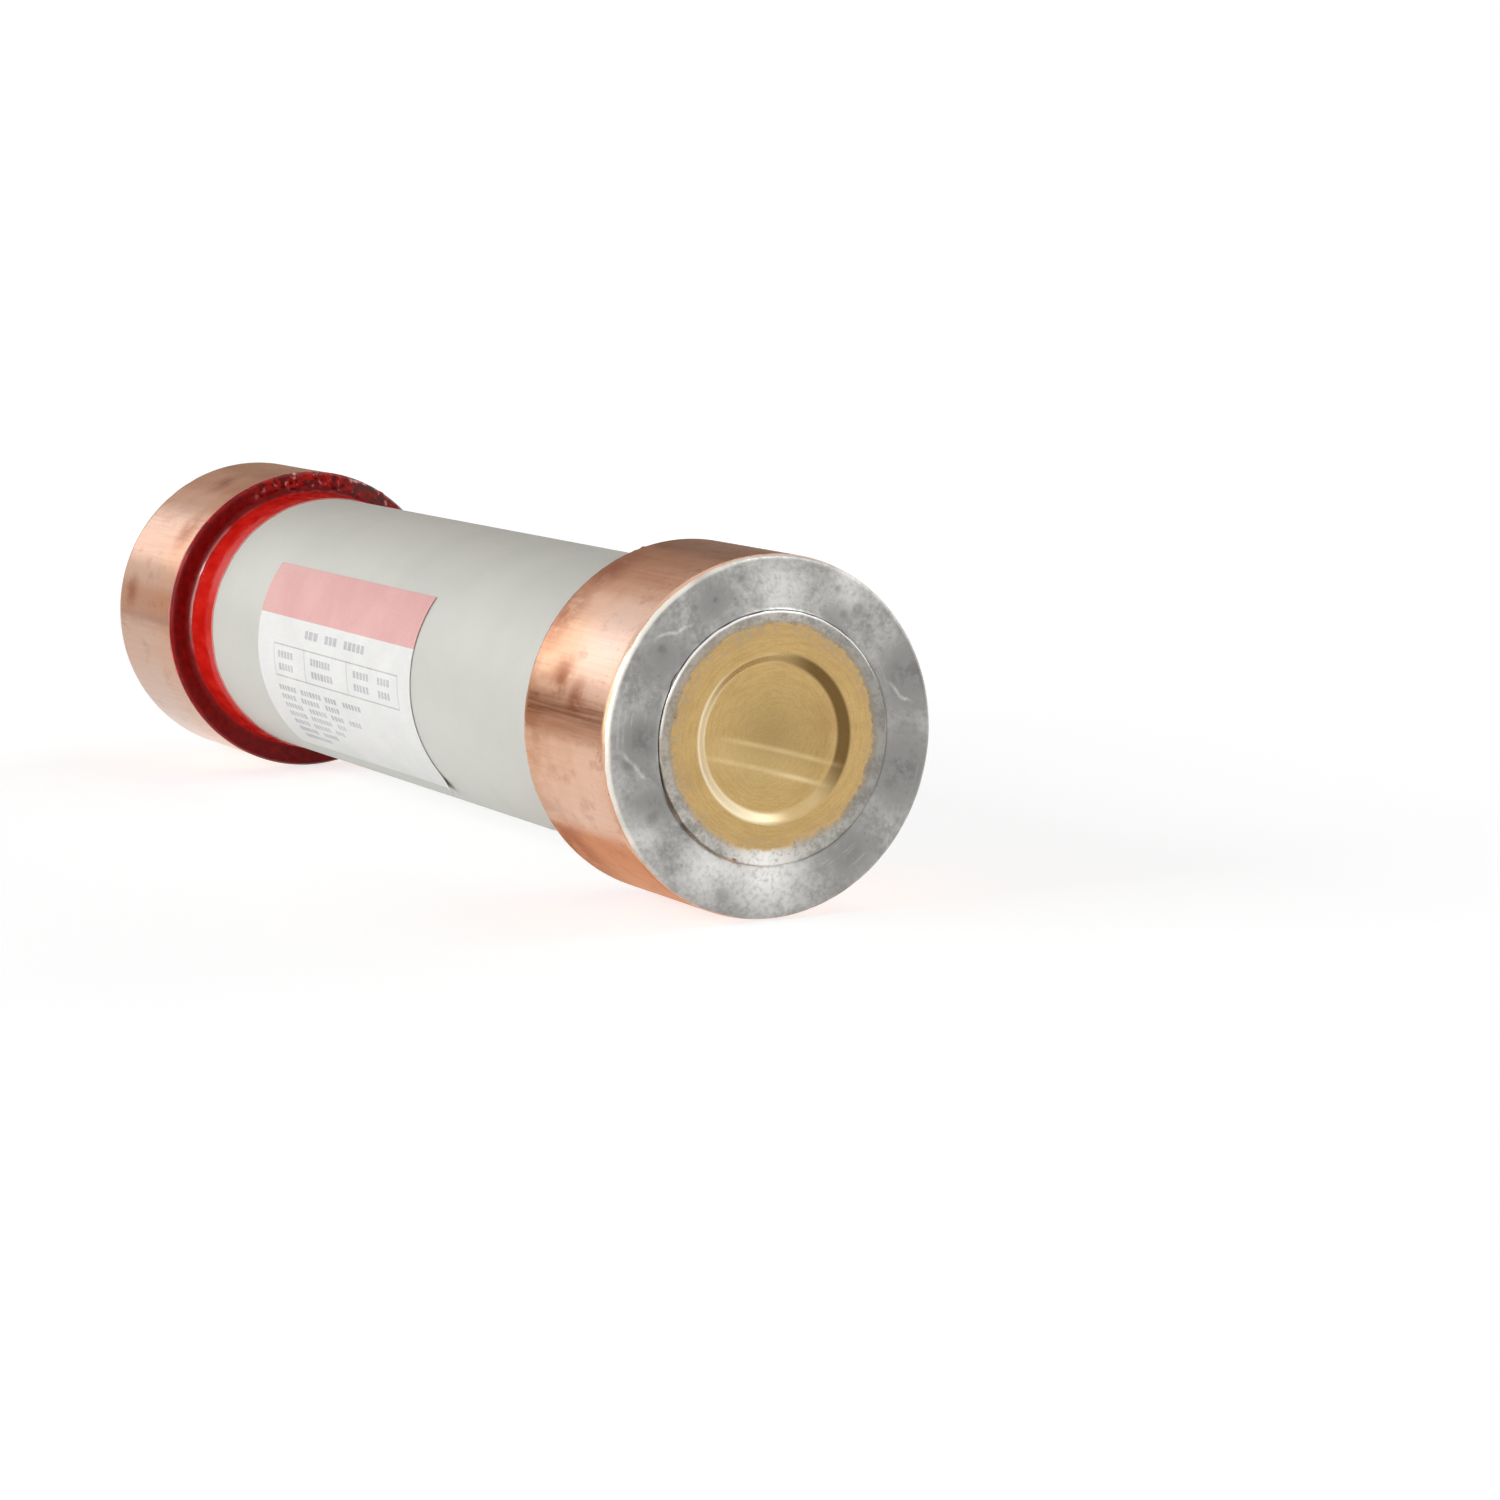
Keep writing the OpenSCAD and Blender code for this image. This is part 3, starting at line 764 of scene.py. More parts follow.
# Creases in the tin: distance from the axis in millimetres and angle in degrees of both ends
TIN_CREASES = [((26.0, 90), (20.4, 106)), ((25.4, 52), (22.0, 36)), ((20.2, -68), (24.6, -82))]
REAR_TWIST = math.radians(140)
DEEP_DENT = 0.12 * MM
CREASE_W = 0.4 * MM
CREASE_WANDER = 0.7 * MM
CREASE_H = 0.07 * MM


def over_edge(turn, lift):
    """Point on the cap's round edge, raised by lift."""
    reach = CAP_EDGE_R + lift
    return EDGE_X + reach * math.cos(turn), EDGE_R + reach * math.sin(turn), 0


def tinned_ring(end, seed):
    top = CAP_X + TIN_SKIN
    turns = [TIN_OVER * part / TIN_OVER_STEPS for part in range(TIN_OVER_STEPS + 1)]
    rim = [over_edge(turn, TIN_SKIN * (1 - turn / TIN_OVER)) for turn in turns]
    back = [over_edge(turn, -TIN_SINK) for turn in reversed(turns)]
    bm = turned([
        (CAP_X - 0.04 * MM, TIN_INNER_R, 0), (top, TIN_INNER_R, TIN_INNER_ROUND),
        (top, RING_R + 1 * MM, 0),
    ] + rim + back, TIN_STEPS, TIN_FINE)
    twist = REAR_TWIST if end == "rear" else 0.0
    dents = [(around(CAP_X, r * MM, math.radians(turn) + twist), width * MM, depth * MM)
             for r, turn, width, depth in TIN_DENTS]
    creases = [[around(CAP_X, r * MM, math.radians(turn) + twist) for r, turn in ends]
               for ends in TIN_CREASES]

    def pressed_in(point):
        return sum(depth * ease((point - middle).length, width, 0.2 * width)
                   for middle, width, depth in dents)

    def drawn_up(point):
        height = 0.0
        for first, last in creases:
            run = last - first
            share = (point - first).dot(run) / run.length_squared
            off = (point - first).dot(run.cross(AXIS).normalized())
            off += CREASE_WANDER * grain(point, 2 * MM, seed + 5)
            height += (1 - ease(abs(off), 0.0, CREASE_W)) * (1 - ease(abs(2 * share - 1), 0.3, 1.0))
        return height

    rim_highlight_layer = bm.verts.layers.float.new("rim")
    dent_layer = bm.verts.layers.float.new("dent")
    crease_layer = bm.verts.layers.float.new("crease")
    for vert in bm.verts:
        x, r, angle = polar(vert.co)
        point = around(CAP_X, r, angle)
        vert[dent_layer] = min(pressed_in(point) / DEEP_DENT, 1.0)
        vert[crease_layer] = min(drawn_up(point), 1.0)
        # Share of a painted highlight along the round rim, strongest on one side
        side = math.cos(angle - RIM_HIGHLIGHT_ANGLE) + 0.25 * grain(around(CAP_X, EDGE_R, angle), 4 * MM, seed + 8)
        vert[rim_highlight_layer] = ease(r, EDGE_R + 0.4 * MM, EDGE_R + 0.85 * MM) * ease(side, 0.3, 0.9)

    def wiped(x, r, angle):
        point = around(CAP_X, r, angle)
        ragged = TIN_WIPED_TO + grains(around(CAP_X, EDGE_R, angle), TIN_RAGGED, seed)
        if r > EDGE_R:
            turn = math.atan2(r - EDGE_R, x - EDGE_X) * ragged
            reach = math.hypot(r - EDGE_R, x - EDGE_X)
            x, r = EDGE_X + reach * math.cos(turn), EDGE_R + reach * math.sin(turn)
        skin = ease(x, CAP_X, top) * (1 - ease(r, EDGE_R - 0.8 * MM, EDGE_R))
        wave = TIN_RELIEF * grains(point, TIN_WAVES, seed)
        x += skin * (wave - pressed_in(point) + CREASE_H * drawn_up(point))
        beside = 1 - ease(r, RING_R, RING_R + SEAM_W)
        gap = open_seam(angle)
        x += skin * beside * (SEAM_LIP * (1 - gap) - SEAM_GROOVE * gap)
        return x, r, angle

    worked(bm, wiped)
    return finished(bm, f"{end}_tinned_ring", f"{end}_tinned_face", [TIN], end == "rear")


# Solder runs over the brass discs' rims

SOLDER_STEPS = 480
SOLDER_FINE = 0.16 * MM
SOLDER_W = 2.65 * MM
SOLDER_FLAT = 1.1 * MM
SOLDER_INSET = 0.06 * MM
SOLDER_GAP = 0.02 * MM
SOLDER_LAP = 0.04 * MM
SOLDER_EDGE_R = 0.4 * MM
SOLDER_RAGGED = [(0.55, 4, 0), (0.24, 1.4, 2), (0.12, 0.5, 4)]
SOLDER_LUMPS = [(0.5, 1.6, 6), (0.35, 0.7, 7), (0.2, 0.35, 8)]
SOLDER_LUMP = 0.06 * MM
SOLDER_SHIFT = 0.45 * MM
SOLDER_SHIFT_ANGLE = math.radians(40)
SPILL_ANGLE = math.radians(-155)
SPILL_SPREAD = math.radians(24)
SPILL = 0.6 * MM
TOP_HIGHLIGHT_ANGLE = math.radians(12)
NOTCH_ANGLE = math.radians(159)
NOTCH_SPREAD = math.radians(2.2)
NOTCH = 0.5 * MM


def solder_run(end, seed):
    inner = SOLDER_R - SOLDER_W
    low = CAP_X + SOLDER_GAP
    under = DISC_X - SOLDER_LAP
    over_rim = DISC_R + SOLDER_LAP
    top = SOLDER_X - SOLDER_INSET
    bm = turned([
        (under, inner, 0), (DISC_X + 0.03 * MM, inner + 0.3 * MM, 0.05 * MM),
        (top, SOLDER_R - SOLDER_FLAT, 0.3 * MM), (top, SOLDER_R, SOLDER_EDGE_R),
        (low, SOLDER_R, 0), (low, over_rim, 0), (under, over_rim, 0),
    ], SOLDER_STEPS, SOLDER_FINE)

    edge = bm.verts.layers.float.new("edge")
    top_edge_highlight = bm.verts.layers.float.new("top_edge_highlight")
    for vert in bm.verts:
        x, r, angle = polar(vert.co)
        vert[edge] = 1 - ease(r, inner, inner + 1.5 * MM)
        # Share of a painted highlight along the outer edge, strongest towards the top
        bright = 0.5 + 0.5 * math.cos(angle - TOP_HIGHLIGHT_ANGLE)
        bright += 0.4 * grain(around(0, r, angle), 3 * MM, seed + 11)
        vert[top_edge_highlight] = ease(r, SOLDER_R - 0.45 * MM, SOLDER_R - 0.2 * MM) * ease(bright, 0.5, 0.9)

    def flowed(x, r, angle):
        rim = around(DISC_X, inner, angle)
        share = 1 - ease(r, inner, SOLDER_R - 0.6 * MM)
        ragged = grains(rim, SOLDER_RAGGED, seed)
        shift = SOLDER_SHIFT * math.cos(angle - SOLDER_SHIFT_ANGLE)
        shift -= SPILL * (1 - ease(abs(turn_between(angle, SPILL_ANGLE)), 0, SPILL_SPREAD))
        r += share * (ragged * MM + shift)
        point = around(DISC_X, r, angle)
        lump = SOLDER_LUMP * grains(point, SOLDER_LUMPS, seed)
        x += ease(x, DISC_X - 0.02 * MM, DISC_X + 0.1 * MM) * lump
        outer = ease(r, SOLDER_R - 0.5 * MM, SOLDER_R - 0.05 * MM)
        wobble = 0.07 * grain(around(DISC_X, SOLDER_R, angle), 2.2 * MM, seed + 9)
        notch = 1 - ease(abs(angle - NOTCH_ANGLE), 0, NOTCH_SPREAD)
        r += outer * (wobble * MM - 0.05 * MM * open_seam(angle) - NOTCH * notch)
        return min(x, SOLDER_X), r, angle

    worked(bm, flowed)
    return finished(bm, f"{end}_solder_run", f"{end}_solder_ring", [SOLDER], end == "rear")


# Brass closing discs

DISC_STEPS = 240
DISC_FINE = 0.5 * MM
DISC_EDGE_R = 0.1 * MM
DISH_ROUND = 0.26 * MM
DISH_CROWN = 0.04 * MM
DISC_WAVE = 0.015 * MM


def brass_disc(end, seed):
    floor = DISC_X - DISH_DEPTH
    back = DISC_X - DISC_T
    fold = DISC_T * math.tan(math.atan2(DISH_DEPTH, DISH_R - DISH_FLOOR_R) / 2)
    bm = turned([
        (floor, 0, 0), (floor, DISH_FLOOR_R, DISH_ROUND), (DISC_X, DISH_R, DISH_ROUND),
        (DISC_X, DISC_R, DISC_EDGE_R), (back, DISC_R, DISC_EDGE_R), (back, DISH_R + fold, DISH_ROUND),
        (floor - DISC_T, DISH_FLOOR_R + fold, DISH_ROUND), (floor - DISC_T, 0, 0),
    ], DISC_STEPS, DISC_FINE, closed=False)

    def pressed(x, r, angle):
        point = around(DISC_X, r, angle)
        crown = DISH_CROWN * (1 - ease(r, 0, DISH_FLOOR_R))
        return x + crown + DISC_WAVE * grain(point, 7 * MM, seed), r, angle

    worked(bm, pressed)
    bmesh.ops.remove_doubles(bm, verts=bm.verts[:], dist=MERGE)
    return finished(bm, f"{end}_brass_disc", f"{end}_closing_disc", [BRASS], end == "rear")


# Red lacquer over the caps' mouths

LACQUER_STEPS = 480
LACQUER_FINE = 0.3 * MM
LACQUER_SINK = 0.02 * MM
LACQUER_EDGE_T = 0.14 * MM
LACQUER_BAND_T = 0.36 * MM
LACQUER_FILLET = 1.2 * MM
LACQUER_BEAD = 0.5 * MM
LACQUER_EDGE_W = 3 * MM
LACQUER_WAVES = [(1.1, 16, 0), (0.25, 3, 1)]
LACQUER_LUMPS = [(0.6, 1.4, 4), (0.5, 0.7, 6)]
LACQUER_LUMP = 0.05 * MM
LACQUER_SWELL = 0.06 * MM
FRINGE = 0.9 * MM
FRINGE_T = 0.04 * MM
CREEP_LEAST = 0.3
CREEP_TONGUES = [(0.9, 3.5, 2), (0.6, 1.1, 3)]
CRUST_SPREAD = math.radians(48)
CRUST_ANGLE = math.radians(-14)
CRUST = 0.5 * MM
GLOSS_ANGLE = math.radians(68)
GLOSS_SPREAD = math.radians(50)


def lacquer_outline(band_x, bead_x, fringe_x):
    """Outline from the band's edge on the tube, up the cap's mouth, to the fringe on the cap's wall."""
    on_tube = TUBE_R - LACQUER_SINK
    on_band = TUBE_R + LACQUER_BAND_T
    on_cap = CAP_R + FRINGE_T
    in_cap = CAP_R - 0.1 * MM
    fringe_end = fringe_x + FRINGE
    behind = MOUTH_X - 0.03 * MM
    return [
        (band_x, on_tube, 0), (band_x, TUBE_R + LACQUER_EDGE_T, 0.1 * MM),
        (band_x + LACQUER_EDGE_W, on_band, 0.5 * MM), (bead_x, on_band, LACQUER_FILLET),
        (bead_x, CAP_R - 0.35 * MM, 0.3 * MM), (fringe_x, on_cap, 0.2 * MM),
        (fringe_end, on_cap, 0), (fringe_end, in_cap, 0), (fringe_x, in_cap, 0),
        (behind, CAP_R - 0.5 * MM, 0), (behind, on_tube, 0),
    ]


def sealing_lacquer(end, seed, band_len, creep_share):
    band_x = MOUTH_X - band_len
    bead_x = MOUTH_X - LACQUER_BEAD
    fringe_x = MOUTH_X + CAP_MOUTH_ROUND
    fillet_r = TUBE_R + LACQUER_BAND_T
    bm = turned(lacquer_outline(band_x, bead_x, fringe_x), LACQUER_STEPS, LACQUER_FINE)

    def glossy(x, r, angle, mouth):
        """Share of the glossy strip in the fillet before the mouth."""
        strip = ease(x, bead_x - 1.1 * LACQUER_FILLET, bead_x - 0.7 * LACQUER_FILLET)
        strip *= 1 - ease(r, fillet_r + 0.2 * LACQUER_FILLET, fillet_r + 0.6 * LACQUER_FILLET)
        strip *= 1 - ease(abs(angle - GLOSS_ANGLE), 0.4 * GLOSS_SPREAD, GLOSS_SPREAD)
        return strip * ease(grain(mouth, 4 * MM, seed + 7), -0.5, 0.1)

    def crept(mouth):
        """How far the fringe has crept onto the cap, in tongues."""
        return CREEP_LEAST + sum(reach * max(0.0, grain(mouth, size * MM, seed + step))
                                 for reach, size, step in CREEP_TONGUES)

    thick_and_shaded = bm.verts.layers.float.new("thick_and_shaded")
    thin = bm.verts.layers.float.new("thin")
    crust = bm.verts.layers.float.new("crust")
    gloss = bm.verts.layers.float.new("gloss")
    for vert in bm.verts:
        x, r, angle = polar(vert.co)
        line = around(band_x, TUBE_R, angle)
        mouth = around(MOUTH_X, CAP_R, angle)
        edge = 1 - ease(x, band_x, band_x + LACQUER_EDGE_W)
        over = ease(r, CAP_R - 0.25 * MM, CAP_R)
        vert[thick_and_shaded] = ease(x, bead_x - 0.6 * LACQUER_FILLET, bead_x - 0.12 * LACQUER_FILLET)
        vert[thin] = 1 - ease(x, band_x, band_x + 0.4 * MM)
        vert[gloss] = glossy(x, r, angle, mouth)
        x += edge * grains(line, LACQUER_WAVES, seed) * MM
        if x > fringe_x:
            vert[thin] = 0.6
            x = fringe_x + (x - fringe_x) * crept(mouth) * creep_share
        r -= over * (1 - creep_share) * 0.3 * MM
        from_top = abs(turn_between(angle, CRUST_ANGLE))
        rough_top = 1 - ease(from_top, 0.4 * CRUST_SPREAD, CRUST_SPREAD)
        beside = ease(x, bead_x - 2.2 * MM, bead_x - 0.4 * MM)
        vert[crust] = rough_top * beside * ease(r, TUBE_R + 1 * MM, TUBE_R + 2.2 * MM)
        vert[crust] = max(vert[crust], 0.8 * over * ease(grain(mouth, 6 * MM, seed + 8), 0.0, 0.4))
        place = Vector((x, vert.co.y, vert.co.z))
        lump = grains(place, LACQUER_LUMPS, seed) * (LACQUER_LUMP + CRUST * rough_top * beside)
        swell = LACQUER_SWELL * grain(place, 6 * MM, seed + 5)
        outside = ease(r, TUBE_R, fillet_r) * (1 - over)
        facing = ease(x, bead_x - 1 * MM, bead_x) * (1 - ease(x, bead_x, MOUTH_X - 0.2 * MM))
        x -= outside * facing * abs(lump + swell)
        r += outside * (1 - facing) * (lump + swell) * (1 - edge)
        vert.co = around(x, r, angle)
    return finished(bm, f"{end}_red_lacquer", f"{end}_sealing_lacquer", [LACQUER],
                    end == "rear")


# Paper label with a pink band, a ruled frame and plain bars for print

LABEL_T = 0.12 * MM
BEND_STEPS = 60
RULE_W = 0.22 * MM
CUT_MERGE = 1e-7
WHITE, PINK, INK = range(3)

# Lower front corner of the label, which has come loose
LIFT = 0.9 * MM
LIFT_REACH = 3.5 * MM
LIFT_STEPS = 12

# Print as plain bars: places along the tube in millimetres, angles in degrees
TITLE_ROW = (78.9, 82.4)
TITLE_WORDS = [(-22, -15.5), (-13, -6.5), (-4.5, 5)]
TITLE_LETTER = 1.5
FRAME_ROW = (87.0, 101.5)
FRAME_X = (-36, 19)
FRAME_POSTS = [-22, -3]
CELL_ROWS = [(90.0, 93.0), (95.5, 98.5)]
CELL_WORDS = [(-34, -26.5), (-19, -9), (0, 7), (10.5, 16)]
SMALL_ROWS = [(105.5 + 4.2 * row, 107.9 + 4.2 * row) for row in range(7)]
SMALL_ENDS = [[-28, -17, -9, 2], [-29, -18, -10], [-27, -17, -9, -1], [-28, -16, -10],
              [-29, -19, -12], [-27, -18], [-24]]
SMALL_START = -36.0
LETTER = 0.95
LETTER_GAP = 0.4
WORD_GAP = 2.0


def letters(start, end, width, seed):
    """Short bars between two places, with widths that vary a little."""
    bars = []
    while start + width < end:
        size = width * (1 + 0.35 * grain(Vector((start, seed, 0)), 1.0, 0.3))
        bars.append((start, start + size))
        start += size + LETTER_GAP
    return bars


def print_blocks():
    """All printed blocks as (start x, end x, upper angle, lower angle)."""
    rule = RULE_W / LABEL_R
    upper, lower = (math.radians(angle) for angle in FRAME_ROW)
    left, right = (place * MM for place in FRAME_X)
    blocks = [(left, right, upper, upper + rule), (left, right, lower - rule, lower)]
    for post in [left, *(place * MM for place in FRAME_POSTS), right - RULE_W]:
        blocks.append((post, post + RULE_W, upper, lower))
    rows = [(TITLE_ROW, TITLE_WORDS, TITLE_LETTER)]
    rows += [(row, CELL_WORDS, LETTER) for row in CELL_ROWS]
    for row, ends in zip(SMALL_ROWS, SMALL_ENDS):
        starts = [SMALL_START] + [end + WORD_GAP for end in ends[:-1]]
        rows.append((row, list(zip(starts, ends)), LETTER))
    for (top, bottom), words, width in rows:
        for word_start, word_end in words:
            for start, end in letters(word_start, word_end, width, top):
                blocks.append((start * MM, end * MM, math.radians(top), math.radians(bottom)))
    return blocks


def paper_label():
    start, end = LABEL_X
    blocks = print_blocks()
    bm = bmesh.new()
    bmesh.ops.create_grid(bm, x_segments=1, y_segments=1, size=0.5)
    bmesh.ops.scale(bm, vec=(end - start, LABEL_SWEEP, 1), verts=bm.verts[:])
    bmesh.ops.translate(bm, vec=((start + end) / 2, LABEL_FROM + LABEL_SWEEP / 2, 0), verts=bm.verts[:])
    across = {place for block in blocks for place in block[:2]}
    across |= {end - 1.5 * LIFT_REACH * step / LIFT_STEPS for step in range(1, LIFT_STEPS)}
    down = {angle for block in blocks for angle in block[2:]} | {LABEL_FROM + PINK_SWEEP}
    down |= {LABEL_FROM + LABEL_SWEEP * step / BEND_STEPS for step in range(1, BEND_STEPS)}
    for cuts, way in ((across, Vector((1, 0, 0))), (down, Vector((0, 1, 0)))):
        for cut in sorted(cuts):
            bmesh.ops.bisect_plane(bm, geom=everything(bm), dist=CUT_MERGE, plane_co=cut * way, plane_no=way)
    for face in bm.faces:
        middle = face.calc_center_median()
        inked = any(a < middle.x < b and c < middle.y < d for a, b, c, d in blocks)
        field = PINK if middle.y < LABEL_FROM + PINK_SWEEP else WHITE
        face.material_index = INK if inked else field
    raised = bmesh.ops.extrude_face_region(bm, geom=bm.faces[:])["geom"]
    top = [part for part in raised if isinstance(part, bmesh.types.BMVert)]
    bmesh.ops.translate(bm, vec=(0, 0, LABEL_T), verts=top)
    for vert in bm.verts:
        x, angle, height = vert.co
        inside = (end - x + (LABEL_FROM + LABEL_SWEEP - angle) * LABEL_R) / math.sqrt(2)
        loose = max(0.0, 1 - inside / LIFT_REACH)
        vert.co = around(x, LABEL_R - LABEL_T + height + LIFT * loose ** 2, angle)
    finishes = [PAPER_WHITE, PAPER_PINK, PAPER_INK]
    return finished(bm, "paper_label", "rating_label", finishes)


# Pieces inside keep their solids and get their own finishes

INNER_FINISHES = {
    "cap_cement": plain_finish("cement", 0.8 * MM, colour(176, 172, 162), colour(196, 192, 182),
                               0.8, 0.95, 0.1 * MM),
    "gasket": plain_finish("gasket_fibre", 0.5 * MM, colour(88, 82, 76), colour(106, 98, 90),
                           0.7, 0.9, 0.05 * MM),
    "contact_cup": COPPER,
    "ceramic_core": plain_finish("core_ceramic", 0.6 * MM, colour(228, 222, 206), colour(236, 231, 218),
                                 0.6, 0.8, 0.04 * MM),
    "fuse_strip": plain_finish("silver", 1.2 * MM, colour(214, 214, 218), colour(230, 230, 234),
                               0.2, 0.35, 0.01 * MM, Metallic=1.0),
    "tin_spots": SOLDER,
    "quartz_sand": plain_finish("sand", 0.35 * MM, colour(206, 192, 160), colour(228, 216, 190),
                                0.7, 0.95, 0.2 * MM),
}


def dress_inner_nodes():
    for name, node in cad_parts.items():
        for key, finish in INNER_FINISHES.items():
            if key in name:
                node.data.materials.clear()
                node.data.materials.append(finish)


# Floor, light and cards

# Soft lamps: name, direction, distance, width, height and power
LAMPS = [("window_box", (-0.912, -0.296, 0.284), 3.0, 1.15, 0.69, 2.0),
         ("left_box", (-0.1, -0.95, 0.3), 1.3, 1.0, 0.8, 11.5),
         ("right_box", (-0.1, 0.95, 0.3), 1.2, 0.6, 0.5, 4.2),
         ("top_box", (0.22, 0.5, 0.84), 1.0, 0.25, 0.5, 1.0)]

# Curved cards: name, tone, distance, first and last angle in degrees, lower and upper edge
STANDING_CARDS = [("back_card_0", (0.24, 0.175, 0.145), 1.5, 146, 158, 0.0, 1.0),
                  ("back_card_1", (0.36, 0.255, 0.195), 1.5, 158, 166, 0.0, 1.0),
                  ("back_card_2", (0.47, 0.345, 0.28), 1.5, 166, 176, 0.0, 1.0),
                  ("back_card_3", (0.66, 0.56, 0.5), 1.5, 176, 184, 0.0, 1.0),
                  ("left_card", (1.9, 1.85, 1.75), 0.9, 220, 298, 0.0, 0.45),
                  ("right_card", (1.3, 1.28, 1.24), 0.75, 78, 118, 0.05, 0.9),
                  ("horizon_card", (0.18, 0.075, 0.03), 0.48, 207, 221, 0.0, 0.076),
                  ("far_horizon_card", (0.85, 0.68, 0.58), 0.48, 170, 205, 0.0, 0.055),
                  ("right_horizon_card", (0.4, 0.3, 0.24), 0.6, 44, 72, 0.0, 0.09)]
CARD_STEPS = 48

# Cards on the floor: name, tone, first and last place along X, first and last place along Y
LYING_CARDS = [("horizon_floor_card", (0.52, 0.38, 0.3), -0.42, -0.06, -0.26, -0.11),
               ("warm_card", (0.78, 0.46, 0.3), 0.048, 0.1, -0.025, -0.004),
               ("lit_floor_card", (1.05, 1.02, 0.98), -0.04, 0.112, 0.03, 0.26)]
CARD_LIFT = 0.5 * MM

FLOOR_SIZE = 8.0
FLOOR_PAINT = 0.9
FLOOR_NEAR = 0.25
FLOOR_FAR = 1.0
FLOOR_GLOW_SHARE = 0.4
FLOOR_GLOW = 1.75
BACKGROUND = 1.0
WORLD_LIGHT = 0.22


def seen_plainly(tree):
    """1 for rays from the camera, from gloss and through glass, which see the plain background."""
    path = tree.nodes.new("ShaderNodeLightPath")
    seen = path.outputs["Is Camera Ray"]
    for ray in ("Is Glossy Ray", "Is Transmission Ray"):
        larger = tree.nodes.new("ShaderNodeMath")
        larger.operation = "MAXIMUM"
        tree.links.new(seen, larger.inputs[0])
        tree.links.new(path.outputs[ray], larger.inputs[1])
        seen = larger.outputs["Value"]
    return seen


def light_world():
    world = bpy.data.worlds.new("studio")
    bpy.context.scene.world = world
    world.use_nodes = True
    tree = world.node_tree
    soft = tree.nodes["Background"]
    soft.inputs["Strength"].default_value = WORLD_LIGHT
    soft.inputs["Color"].default_value = (1, 1, 1, 1)
    plain = tree.nodes.new("ShaderNodeBackground")
    plain.inputs["Color"].default_value = (1, 1, 1, 1)
    plain.inputs["Strength"].default_value = BACKGROUND
    mix = tree.nodes.new("ShaderNodeMixShader")
    tree.links.new(seen_plainly(tree), mix.inputs["Fac"])
    tree.links.new(soft.outputs["Background"], mix.inputs[1])
    tree.links.new(plain.outputs["Background"], mix.inputs[2])
    tree.links.new(mix.outputs["Shader"], tree.nodes["World Output"].inputs["Surface"])


def floor_material():
    """White floor that keeps the fuse-link's shadow and fades into the background with distance."""
    f = Finish("floor_white", Base_Color=(FLOOR_PAINT, FLOOR_PAINT, FLOOR_PAINT, 1), Roughness=1.0,
               Specular_IOR_Level=0.0)
    spot = f.node("ShaderNodeVectorMath", operation="LENGTH")
    f.join(f.place, spot.inputs[0])
    away = spot.outputs["Value"]
    glow = f.node("ShaderNodeEmission")
    f.join(f.band(away, FLOOR_NEAR, FLOOR_FAR, FLOOR_GLOW, BACKGROUND), glow.inputs["Strength"])
    share = f.times(seen_plainly(f.tree), f.band(away, FLOOR_NEAR, FLOOR_FAR, FLOOR_GLOW_SHARE, 1.0))
    mix = f.node("ShaderNodeMixShader")
    f.join(share, mix.inputs["Fac"])
    f.join(f.shader.outputs["BSDF"], mix.inputs[1])
    f.join(glow.outputs["Emission"], mix.inputs[2])
    f.join(mix.outputs["Shader"], f.tree.nodes["Material Output"].inputs["Surface"])
    return f.material


def staged(bm, name, material):
    """Makes a piece of the stage."""
    piece = placed(bm, name, [material])
    return piece


def lay_floor():
    bm = bmesh.new()
    bmesh.ops.create_grid(bm, x_segments=1, y_segments=1, size=FLOOR_SIZE / 2)
    bmesh.ops.translate(bm, vec=(0, 0, FLOOR_Z), verts=bm.verts[:])
    staged(bm, "floor", floor_material())


def softbox(name, direction, distance, width, height, power):
    """Large soft lamp that looks at the fuse-link's middle from a direction."""
    data = bpy.data.lights.new(name, "AREA")
    data.shape = "RECTANGLE"
    data.size = width
    data.size_y = height
    data.energy = power
    lamp = bpy.data.objects.new(name, data)
    towards = Vector(direction).normalized()
    lamp.location = towards * distance
    lamp.rotation_euler = towards.to_track_quat("Z", "Y").to_euler()
    bpy.context.scene.collection.objects.link(lamp)


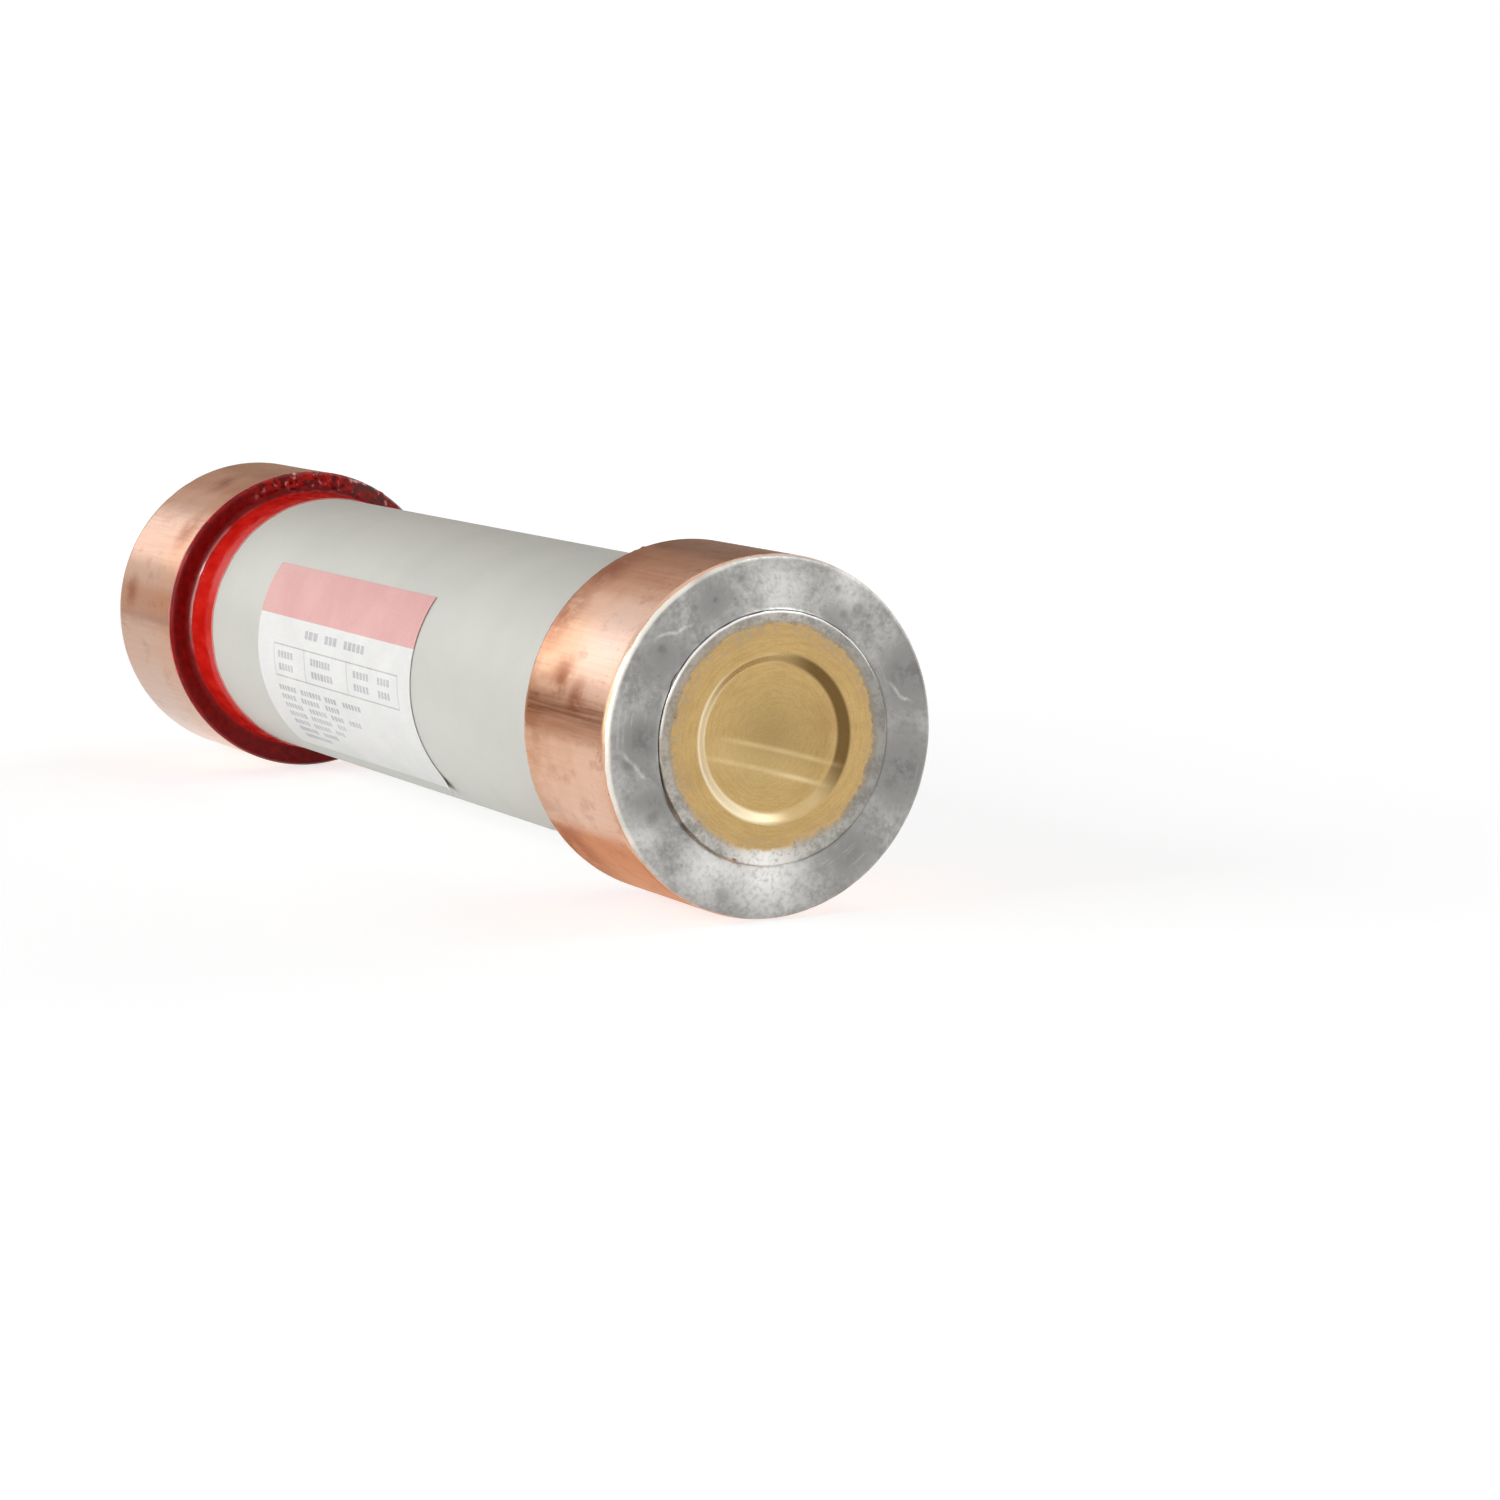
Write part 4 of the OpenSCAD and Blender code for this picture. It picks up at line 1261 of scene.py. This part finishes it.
def reflected_only(bm, name, tone):
    """Card of one tone that reflections see, but not the camera, and that throws no shadow."""
    f = Finish(name, Base_Color=(0, 0, 0, 1), Specular_IOR_Level=0.0, Emission_Color=(*tone, 1),
               Emission_Strength=1.0)
    card = staged(bm, name, f.material)
    card.visible_camera = False
    card.visible_diffuse = False
    card.visible_shadow = False


def standing_card(name, tone, distance, from_angle, to_angle, low, high):
    """Curved card round the set; the angles run from +X towards +Y."""
    bm = bmesh.new()
    turn = Matrix.Rotation(math.radians(from_angle), 3, "Z")
    ends = [bm.verts.new(turn @ Vector((distance, 0, FLOOR_Z + level))) for level in (low, high)]
    post = bm.edges.new(ends)
    bmesh.ops.spin(bm, geom=[*ends, post], cent=(0, 0, 0), axis=UPWARD, steps=CARD_STEPS,
                   angle=math.radians(to_angle - from_angle))
    reflected_only(bm, name, tone)


def lying_card(name, tone, from_x, to_x, from_y, to_y):
    """Card just above the floor."""
    bm = bmesh.new()
    bmesh.ops.create_grid(bm, x_segments=1, y_segments=1, size=0.5)
    bmesh.ops.scale(bm, vec=(to_x - from_x, to_y - from_y, 1), verts=bm.verts[:])
    middle = ((from_x + to_x) / 2, (from_y + to_y) / 2, FLOOR_Z + CARD_LIFT)
    bmesh.ops.translate(bm, vec=middle, verts=bm.verts[:])
    reflected_only(bm, name, tone)


# The whole fuse-link on its stage

# Both ends: name, seed, length of the lacquer band on the tube and share of its creep onto the cap
ENDS = [("front", 11.0, 7 * MM, 0.1), ("rear", 47.0, MOUTH_X - BAND_X, 1.0)]

bpy.context.scene.view_settings.view_transform = "Standard"
place_camera()
porcelain_tube()
paper_label()
for end, seed, band_len, creep_share in ENDS:
    copper_cap(end, seed)
    tinned_ring(end, seed + 0.5)
    solder_run(end, seed + 1.5)
    brass_disc(end, seed + 2.5)
    sealing_lacquer(end, seed + 3.5, band_len, creep_share)
dress_inner_nodes()
light_world()
lay_floor()
for lamp in LAMPS:
    softbox(*lamp)
for card in STANDING_CARDS:
    standing_card(*card)
for card in LYING_CARDS:
    lying_card(*card)
